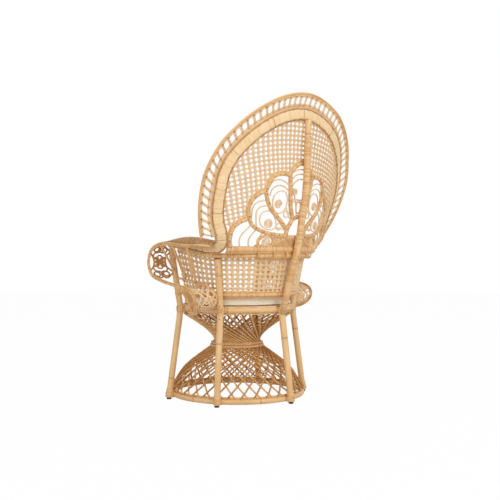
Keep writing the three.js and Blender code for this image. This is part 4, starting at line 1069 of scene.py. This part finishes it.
def both(name, paths, radius, section, material, node=None):
    """The piece on the sitter's left and its mirror image on the right."""
    for label, flip in (("_left", 1), ("_right", -1)):
        made = [sweep(path * (flip, 1, 1), radius, section, seed=seed)
                for seed, path in enumerate(paths)]
        make_piece(name + label, made, material, [node + label] if node else ())


# %% Make the arm's canes
rim_path, rail_path = metres(RIM_TOP + ROLL + RIM_BACK, 150), metres(RAIL, 90)
both("arm_rim_wound", [rim_path], 0.0056, 12, WOUND, "arm_rim")
both("arm_rim_inner_cane", [beside(rim_path[4:-6], -0.0088)[10:]], 0.0032, 7, CANE)
both("arm_lower_rail_wound", [rail_path], 0.0058, 12, WOUND, "arm_lower_rail")
for number, (top, low) in enumerate(np.array(STRUTS) / 1000, 1):
    line = top + np.linspace(0.04, 0.96, 16)[:, None] * (low - top)
    both("arm_strut_%d_cane" % number, [line], 0.0057, 10, CANE, "arm_strut_%d" % number)


# %% Where the crossed canes lie
def front_surface(across, up):
    """From the front pole out to the scroll: straight across between two curves of one height."""
    z = (SCROLL_Z + SCROLL_R * (2 * up - 1) * 0.9) / 1000
    drop = np.maximum((SCROLL_R / 1000) ** 2 - (z - SCROLL_Z / 1000) ** 2, 0)
    pole = pole_path(115)[35:]
    x, y = between(z, pole[:, 2], pole[:, :2]).T
    inner = np.stack([x + POLE_R, y, z], -1)
    outer = np.stack([np.full_like(z, 0.430), SCROLL_Y / 1000 - np.sqrt(drop), z], -1)
    return inner + across[..., None] * (outer - inner)


def rear_surface(across, up):
    """From the lower rail's rear bend out to the rim's lower bend."""
    inner, outer = (between(up * 59, np.arange(60), metres(points[::-1], 60))
                    for points in (RAIL[4:], RIM_BACK[1:7]))
    return inner + across[..., None] * (outer - inner)


def loop(across, up, wide, tall):
    """An ellipse a little over one turn long, so that its ends lie side by side."""
    turn = 2 * np.pi * np.linspace(0, 1.1, 30)
    return np.stack([across + wide * np.cos(turn), up + tall * np.sin(turn)], -1)


def scroll(surface, lines, loops):
    """Canes through a few points, then looped ones, all laid on a surface of the arm."""
    drawn = [smooth_path(points, count) for points, count in lines]
    return [surface(*line.T) for line in drawn + [loop(*ellipse) for ellipse in loops]]


# %% Crossed canes with looped ends, as shares across and up, and braces under the arm
CROSSED = [(0, .84), (.28, .98), (.5, .93), (.47, .8), (.27, .77), (.22, .66), (.5, .5),
           (.78, .34), (.73, .23), (.53, .2), (.5, .07), (.72, .02), (1, .16)]
BOWS = [[(0.04, 0.22), (0.22, 0.36), (0.28, 0.5), (0.22, 0.64), (0.04, 0.78)],
        [(0.98, 0.2), (0.8, 0.36), (0.74, 0.5), (0.8, 0.64), (0.98, 0.82)]]
PETALS = [(0.5 + 0.17 * math.cos(t), 0.5 + 0.12 * math.sin(t), 0.11, 0.08) for t in turns_of(6)]
CORNER_LOOPS = [(0.27, 0.86, 0.13, 0.07), (0.70, 0.88, 0.13, 0.07), (0.3, 0.14, 0.13, 0.07),
                (0.72, 0.13, 0.13, 0.07)]
DIAGONALS = [[(0, 0.02), (0.3, 0.4), (0.6, 0.62), (1, 0.98)],
             [(0, 0.2), (0.25, 0.52), (0.55, 0.75), (0.9, 1.0)],
             [(1, 0.05), (0.7, 0.38), (0.4, 0.6), (0, 0.95)],
             [(1, 0.28), (0.75, 0.55), (0.45, 0.8), (0.1, 1.0)],
             [(0.5, 0.0), (0.62, 0.3), (0.85, 0.5), (1, 0.6)]]
REAR_LOOPS = [(0.16, 0.44, 0.13, 0.10), (0.2, 0.68, 0.14, 0.10), (0.30, 0.26, 0.12, 0.09),
              (0.58, 0.28, 0.12, 0.09), (0.45, 0.5, 0.10, 0.07), (0.78, 0.78, 0.12, 0.08)]
lines = [(CROSSED, 110), ([(1 - x, y) for x, y in CROSSED], 110)] + [(bow, 60) for bow in BOWS]
front = scroll(front_surface, lines, PETALS + CORNER_LOOPS)
# The front scroll takes the browner cane, painted shade for the shadow inside the arm
both("front_scroll_canes", front, 0.0039, 8, PAINTED_SHADE_CANE, "front_scroll")
rear = scroll(rear_surface, [(line, 60) for line in DIAGONALS], REAR_LOOPS)
# The rear scroll takes the pale lace cane, a painted highlight for the light that falls on it
both("rear_scroll_canes", rear, 0.0044, 8, LACE, "rear_scroll")
starts, ends = (even_path(rim_path, np.linspace(*span, 7)) for span in ((0.64, 0.74), (0.90, 0.97)))
bend = (starts + ends) / 2 + (-0.035, -0.01, -0.012)
t = np.linspace(0.02, 0.98, 24)[None, :, None]
braces = (1 - t) ** 2 * starts[:, None] + 2 * t * (1 - t) * bend[:, None] + t**2 * ends[:, None]
both("arm_lower_brace_canes", braces, 0.0034, 7, CANE)

# %% [markdown]
# ### Arm rests
# The rest is split cane wound closely over a light frame, from the tub's rail up over a crest
# and down to the outer cane. It is a thin arched shell that is open underneath, so it is made
# as a grid with an outer and an inner side.

# %% Close a thin shell round a grid
def grid_numbers(rows, columns):
    return np.arange(rows * columns).reshape(rows, columns)


def thin_shell(grid, thickness, spacing_v):
    """Two copies of the grid, half the thickness to each side along its normals, joined round
    the border. v runs along the rows' number in metres, u across them."""
    rows, columns, _ = grid.shape
    normal = unit(np.cross(np.gradient(grid, axis=0), np.gradient(grid, axis=1)))
    verts = np.concatenate([(grid + side * thickness / 2 * normal).reshape(-1, 3)
                            for side in (1, -1)])
    at, under = grid_numbers(rows, columns), rows * columns
    a, b, c, d = at[:-1, :-1], at[1:, :-1], at[1:, 1:], at[:-1, 1:]
    edge = np.concatenate([at[:, 0], at[-1, 1:], at[-2::-1, -1], at[0, -2:0:-1]])
    after = np.roll(edge, -1)
    quads = np.concatenate([np.stack([a, b, c, d], -1).reshape(-1, 4),
                            np.stack([a, d, c, b], -1).reshape(-1, 4) + under,
                            np.stack([after, edge, edge + under, after + under], -1)])
    steps = np.linalg.norm(np.diff(grid, axis=1), axis=-1)
    u = np.concatenate([np.zeros((rows, 1)), np.cumsum(steps, 1)], 1)
    v = np.broadcast_to((np.arange(rows) * spacing_v)[:, None], (rows, columns))
    uv = np.tile(np.stack([u, v], -1).reshape(-1, 2), (2, 1))
    return verts, quads, np.zeros((0, 3), int), uv[quads].reshape(-1, 2), np.zeros((0, 2))


# %% Make the arm rests
PAD_FRONT, PAD_REAR, TUB_R = -0.088, 0.212, 0.346


def pad_grid(rows=64, columns=26):
    """At each distance behind the axis, a Bezier arch from the tub's rail to the outer cane."""
    y = np.linspace(PAD_FRONT, PAD_REAR, rows)
    x_61, y_61 = polar(61, rail_radius(61), 0.0)[:2]
    share = np.clip((y - y_61) / (PAD_REAR - y_61), 0, 1)
    angle = np.degrees(np.arccos(np.clip(y / TUB_R, -1, 1)))
    inner_x = np.where(y > y_61, x_61 + share * (0.322 - x_61), np.sqrt(TUB_R ** 2 - y ** 2))
    inner_z = np.where(y > y_61, 0.719 + share * 0.012, rail_height(angle) + 0.0125) + 0.0043
    top = np.array(RIM_TOP[::-1]) / 1000
    outer_x, outer_z = between(y, top[:, 1], top[:, ::2]).T
    crest = table([(PAD_FRONT, 0.773), (-0.03, 0.790), (0.06, 0.806), (0.14, 0.799),
                   (PAD_REAR, 0.778)], y)
    t = np.linspace(0, 1, columns)[None]
    weights = [(1 - t) ** 3, 3 * t * (1 - t) ** 2, 3 * t**2 * (1 - t), t**3]
    arch = lambda *corners: sum(w * c[:, None] for w, c in zip(weights, corners))
    x = arch(inner_x, inner_x + 0.005, outer_x - 0.020, outer_x - 0.011)
    z = arch(inner_z, crest, crest, outer_z + 0.005)
    return np.stack(np.broadcast_arrays(x, y[:, None], z), -1)


# The rests take the browner wound cane, painted shade
for label, flip in (("left", 1), ("right", -1)):
    grid = (pad_grid() * (flip, 1, 1))[::-1, ::flip]
    make_piece("arm_pad_wound_" + label, [thin_shell(grid, 0.0075, 0.0051)], PADDING,
               ["arm_pad_" + label])

# %% [markdown]
# ## Seat and cushion
# Two bars and a closely woven disc carry the loose round cushion. The disc's reeds run in
# rings over and under its stakes. The cushion is made by inflating a pad with a cloth
# simulation, which gives the slack, slightly uneven skin of real cloth. The cloth draws in at
# the side as it fills, so the pad's radius starts 10 mm larger than the cushion's will be.

# %% Make the deck and its bars
BAR_X, DECK_Z = 0.110, 0.4625
half = math.sqrt((SEAT_RING_R - 0.0145) ** 2 - BAR_X ** 2) - 0.009
for label, x in (("left", BAR_X), ("right", -BAR_X)):
    line = np.stack([np.full(24, x), np.linspace(-half, half, 24), np.full(24, 0.4514)], -1)
    make_piece("seat_bar_pole_" + label, [sweep(line, 0.0088, 12)], POLE, ["seat_bar_" + label])
radii = np.arange(0.010, 0.2775, 0.0046)[:, None]
wave = 0.0011 * np.cos(np.pi * (np.arange(144) / 3 + np.arange(len(radii))[:, None]))
deck = polar(np.arange(144) * 360 / 144, radii, DECK_Z + wave)
make_piece("seat_deck_rings", [sweep(deck, 0.0021, 5, closed=True, seed=51)], REED, ["seat_deck"])
stakes = polar((np.arange(48) * 7.5)[:, None], np.linspace(0.006, 0.278, 30), DECK_Z)
make_piece("seat_deck_stakes", [sweep(stakes, 0.0016, 5, seed=52)], REED)

# %% Bar under the fan, with the turns of flat cane that tie it to the rear rail
BAR_Z, TIE_Z = 0.737, 0.7212
bar_x = np.linspace(-0.315, 0.315, 80)
bar = on_fan(bar_x, BAR_Z - 0.002) + (0, 0, 0.002)
make_piece("fan_bottom_bar_wound", [sweep(bar, 0.0140, 16, seed=61)], WOUND, ["fan_bottom_bar"])
filler = [sweep(on_fan(bar_x, TIE_Z, out), 0.0042, 8, seed=62) for out in (-0.004, 0.003)]
make_piece("fan_bottom_filler_canes", filler, CANE)
tie_x = np.array([-0.19, -0.118, -0.046, 0.046, 0.118, 0.19])
tie_at = (on_fan(tie_x, TIE_Z) + polar(np.degrees(np.arcsin(tie_x / 0.36)), 0.360, TIE_Z)) / 2
turn = turns_of(20)
oval = np.stack([np.zeros(20), 0.0165 * np.cos(turn), 0.0262 * squared(np.sin(turn), 0.6)], -1)
apart = ((np.arange(4) - 1.5) * 0.0030)[:, None] * (1.0, 0.0, 0.0)
ties = ((tie_at[:, None] + apart)[:, :, None] + oval).reshape(-1, 20, 3)
make_piece("fan_bottom_ties", [sweep(ties, 0.0014, 6, closed=True, seed=63)], CANE)

# %% Feet
GLIDE_Z, GLIDE_R = (0.0, 0.0006, 0.0052, 0.006), (0.0112, 0.0122, 0.0122, 0.0112)
for node in ("front_glide_left", "front_glide_right", "side_glide_left", "side_glide_right",
             "rear_glide"):
    low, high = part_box(node)
    centre = (low + high) / 2
    line = np.stack([np.full(4, centre.x), np.full(4, centre.y - AXIS_Y), GLIDE_Z], -1)
    make_piece(node + "_moulded", [sweep(line, GLIDE_R, 24)], DARK_PLASTIC, [node])


# %% Wound bindings at the joints
def sleeve(path, at, length, radius):
    """A piece of a path, from `at` on, as a slightly thicker wound sleeve with lower ends."""
    line = between(np.linspace(at, at + length, 10), distances(path), path)
    return sweep(line, np.pad(np.full(8, radius), 1, constant_values=radius - 0.001), 18)


def ring_ties(ring_radius, height, pole_radius, depth, tall, turns=6):
    """Cane wound round a pole and the ring beside it together: flat ovals stacked in height."""
    turn = turns_of(24)
    angles = np.array([0, *POLE_ANGLES.values()])[:, None, None]
    radius = (ring_radius + pole_radius) / 2 + depth * np.cos(turn)
    side = np.degrees(0.0158 * squared(np.sin(turn), 0.7) / pole_radius)
    level = height + (np.linspace(-0.5, 0.5, turns) * tall)[:, None]
    return polar(angles + side, radius, level).reshape(-1, 24, 3)


# Where each sleeve starts along the pole, its length and its radius
POLE_SLEEVES = [(0.003, 0.040, 0.0178), (0.416, 0.040, 0.0172), (0.505, 0.022, 0.0166),
                (0.680, 0.018, 0.0164)]
REAR_SLEEVES = [(0.003, 0.040, 0.0184), (0.418, 0.860, 0.0169)]
sleeves = [sleeve(pole_path(angle), *sizes) for angle in POLE_ANGLES.values()
           for sizes in POLE_SLEEVES]
sleeves += [sleeve(rear_pole_path(300), *sizes) for sizes in REAR_SLEEVES]
make_piece("joint_bindings", sleeves, WOUND)
foot, seat = (BASE_R, 0.021, 0.3585, 0.0320, 0.019), (SEAT_RING_R, SEAT_Z, 0.3025, 0.0335, 0.021)
tied = [sweep(ring_ties(*sizes), 0.0021, 6, closed=True, seed=seed)
        for sizes, seed in ((foot, 64), (seat, 65))]
make_piece("ring_ties", tied, WOUND)


# %% Nails
def nail_heads(places, normals, radius=0.0027):
    """Small rounded studs: short sweeps along the normal that narrow to their top."""
    rise = np.array([-0.002, 0.0004, 0.0009])
    paths = places[:, None] + rise[:, None] * normals[:, None]
    return sweep(paths, radius * np.array([1.0, 0.95, 0.45]), 8)


pick = np.arange(4, len(band_line) - 4, 9)
nails = [nail_heads(on_band(pick, side * 0.0200, out * 0.0104), out * band_face[pick], 0.0016)
         for side in SIDES for out in SIDES]
nails += [nail_heads((path + out * 0.0094 * normals)[3::9], out * normals[3::9])
          for path, normals in frame_lines for out in SIDES]
pole_at = np.array([1, 4, 40, 42, 46, 62, 65])
for angle in POLE_ANGLES.values():
    path = pole_path(angle)[pole_at]
    outwards = unit(path * (1, 1, 0))
    nails.append(nail_heads(path + 0.0152 * outwards, outwards))
path = rear_pole_path(150)[[1, 4, 46, 50, 54, 66, 74, 78, 95, 118, 140, 146]]
nails.append(nail_heads(path + (0, 0.0158, 0), np.broadcast_to((0.0, 1.0, 0.0), path.shape)))
make_piece("nail_heads", nails, STEEL)


# %% The cushion's pad
def pad_profile(steps=72):
    """Radius and height of a round pad: flat below, drawn in at two seams, crowned above."""
    r, thick, crown, corner, low = 0.277, 0.041, 0.006, 0.009, 0.4668
    top = low + thick
    rows = [(0, low), (r * 0.8, low), (r - corner, low + 0.003), (r, low + thick * 0.25),
            (r, low + thick * 0.5), (r, low + thick * 0.75), (r - corner, top),
            (r * 0.8, top + crown * 0.45), (r * 0.45, top + crown * 0.85), (0.0, top + crown)]
    return smooth_path(rows, steps)


def turned(profile, steps=120):
    """Profile turned about the axis; the two ends on the axis become single points."""
    r, z = profile[1:-1, :1], profile[1:-1, 1:]
    angle = turns_of(steps, 0)
    body = np.stack(np.broadcast_arrays(r * np.sin(angle), r * np.cos(angle), z), -1)
    ends = [(0, 0, profile[0, 1]), (0, 0, profile[-1, 1])]
    verts = np.concatenate([body.reshape(-1, 3), ends])
    at = grid_numbers(len(r), steps)
    after = np.roll(at, -1, 1)
    quads = np.stack([at[:-1], at[1:], after[1:], after[:-1]], -1).reshape(-1, 4)
    first, last = (np.full(steps, len(verts) - back) for back in (2, 1))
    tris = np.concatenate([np.stack([at[0], after[0], first], -1),
                           np.stack([after[-1], at[-1], last], -1)])
    quad_uv, tri_uv = (verts[faces][..., :2].reshape(-1, 2) for faces in (quads, tris))
    return verts, quads, tris, quad_uv, tri_uv


# %% Inflate it
def points_of(mesh):
    flat = np.empty(len(mesh.vertices) * 3, np.float32)
    mesh.vertices.foreach_get("co", flat)
    return flat.reshape(-1, 3)


def finished_mesh(item):
    """The mesh that the item's modifiers make at this frame."""
    ready = item.evaluated_get(bpy.context.evaluated_depsgraph_get())
    return bpy.data.meshes.new_from_object(ready)


def inflate(piece, voxel, pressure, cap, frames=20):
    """Blow a remeshed copy up as cloth, then keep each point within a cap of where it began."""
    even = piece.modifiers.new("even", "REMESH")
    even.mode, even.voxel_size = "VOXEL", voxel
    blank = add_object("cushion_blank", finished_mesh(piece))
    piece.modifiers.clear()
    cloth = blank.modifiers.new("cloth", "CLOTH")
    cloth.settings.use_pressure, cloth.settings.uniform_pressure_force = True, pressure
    cloth.settings.effector_weights.gravity = 0
    cloth.point_cache.frame_start, cloth.point_cache.frame_end = 1, frames
    start = points_of(blank.data)
    for number in range(1, frames + 1):
        bpy.context.scene.frame_set(number)
    move = points_of(finished_mesh(blank)) - start
    length = np.linalg.norm(move, axis=1, keepdims=True)
    swollen = start + move * np.minimum(1, cap / np.maximum(length, 1e-9))
    swollen[:, 2] = np.maximum(swollen[:, 2], start[:, 2].min())
    blank.modifiers.clear()
    blank.data.vertices.foreach_set("co", swollen.ravel())
    piece.data = blank.data
    bpy.data.objects.remove(blank)
    bpy.context.scene.frame_set(1)
    print("cushion inflated:", len(start), "points, largest move", round(float(length.max()), 4))


VOXEL, PRESSURE, LARGEST_MOVE = 0.005, 4.0, 0.010
cushion = make_piece("round_cushion", [turned(pad_profile())], CLOTH, ["seat_cushion"], "cushion")
inflate(cushion, VOXEL, PRESSURE, LARGEST_MOVE)
cushion.data.polygons.foreach_set("use_smooth", np.ones(len(cushion.data.polygons), bool))
smooth = cushion.modifiers.new("smooth", "SUBSURF")
smooth.levels = smooth.render_levels = 1


# %% Sew its two seams
def skin_radius(mesh, height, steps=96, reach=0.004):
    """Largest radius of the skin near a height, in sectors round the axis, evened out a little."""
    p = points_of(mesh) - (0, AXIS_Y, 0)
    p = p[np.abs(p[:, 2] - height) < reach]
    sector = (np.degrees(np.arctan2(p[:, 0], p[:, 1])) / 360 * steps).astype(int) % steps
    radius = np.zeros(steps)
    np.maximum.at(radius, sector, np.hypot(p[:, 0], p[:, 1]))
    return (np.roll(radius, 1) + radius + np.roll(radius, -1)) / 3


piping = []
for height in (0.4735, 0.5075):
    seam = polar(np.arange(96) * 3.75, skin_radius(cushion.data, height) + 0.0006, height)
    piping.append(sweep(seam, 0.0023, 8, closed=True, seed=71))
make_piece("cushion_piping", piping, CLOTH, body="cushion")

# %% Camera at the photograph's place
# Found by fitting the chair's rings and poles to the photograph, in pixels and metres
PHOTO_PX, FOCAL_PX, CENTRE_X, CENTRE_Y = 500, 775.46, 237.1, 259.27
DISTANCE, AZIMUTH_SIN, AZIMUTH_COS, EYE = 3.9609, 0.7169, 0.6972, 0.6902
camera = add_object("photo_camera", bpy.data.cameras.new("photo_camera"))
bpy.context.scene.camera = camera
camera.data.lens = 36 * FOCAL_PX / PHOTO_PX
camera.data.shift_x = (PHOTO_PX / 2 - CENTRE_X) / PHOTO_PX
camera.data.shift_y = -(PHOTO_PX / 2 - CENTRE_Y) / PHOTO_PX
camera.location = (DISTANCE * AZIMUTH_SIN, DISTANCE * AZIMUTH_COS + AXIS_Y, EYE)
camera.rotation_euler = (math.pi / 2, 0, math.atan2(AZIMUTH_SIN, -AZIMUTH_COS))
print("camera", [round(v, 3) for v in camera.location], "lens", round(camera.data.lens, 2))

# %% Floor
# The camera sees it almost as white as the photo's ground, while it still takes the shadow
FLOOR, FLOOR_WHITE = 12, 0.975
floor = add_object("floor", bpy.data.meshes.new("floor"))
corners = [(-FLOOR, -FLOOR, 0), (FLOOR, -FLOOR, 0), (FLOOR, FLOOR, 0), (-FLOOR, FLOOR, 0)]
floor.data.from_pydata(corners, [], [(0, 1, 2, 3)])
floor_material, tree, shader = new_material("pale_floor", 0.9, 0.1)
shader.inputs["Base Color"].default_value = linear("F4F3F1")
white = add(tree, "ShaderNodeEmission", {"Color": (1, 1, 1, 1), "Strength": 1.0})
to_camera = add(tree, "ShaderNodeLightPath").outputs["Is Camera Ray"]
inputs = {0: maths(tree, "MULTIPLY", to_camera, FLOOR_WHITE), 1: shader.outputs[0],
          2: white.outputs[0]}
blend = add(tree, "ShaderNodeMixShader", inputs)
output = next(node for node in tree.nodes if node.type == "OUTPUT_MATERIAL")
tree.links.new(blend.outputs[0], output.inputs[0])
floor.data.materials.append(floor_material)

# %% Sky and lamps
# The sky is white where it is seen or mirrored, and lights the chair only half as much
SKY_LIGHT = 0.48
world = bpy.data.worlds.new("studio")
bpy.context.scene.world = world
world.use_nodes = True
tree = world.node_tree
tree.nodes.clear()
rays = add(tree, "ShaderNodeLightPath").outputs
glossy = maths(tree, "MAXIMUM", rays["Is Glossy Ray"], rays["Is Transmission Ray"])
seen = maths(tree, "MAXIMUM", rays["Is Camera Ray"], glossy)
strength = maths(tree, "MULTIPLY_ADD", seen, 1 - SKY_LIGHT, SKY_LIGHT)
backdrop = add(tree, "ShaderNodeBackground", {"Color": (1, 1, 1, 1), "Strength": strength})
add(tree, "ShaderNodeOutputWorld", {0: backdrop.outputs[0]})


def soft_light(name, place, size, power, aim=(0, 0, 0.7)):
    """A square lamp of some size in metres and power in watts, turned towards the chair."""
    lamp = bpy.data.lights.new(name, "AREA")
    lamp.size, lamp.energy = size, power
    item = add_object(name, lamp)
    item.location = place
    x, y, z = np.array(aim) - place
    item.rotation_euler = (math.atan2(math.hypot(x, y), -z), 0, math.atan2(-x, y))


soft_light("key", (0.6, 4.2, 3.3), 2.2, 92)
soft_light("fill", (4.2, 0.8, 1.8), 2.6, 34)
soft_light("front", (-2.0, -3.5, 2.5), 2.6, 26)
bpy.context.scene.view_settings.view_transform = "Standard"
print("floor, sky and three lamps ready")
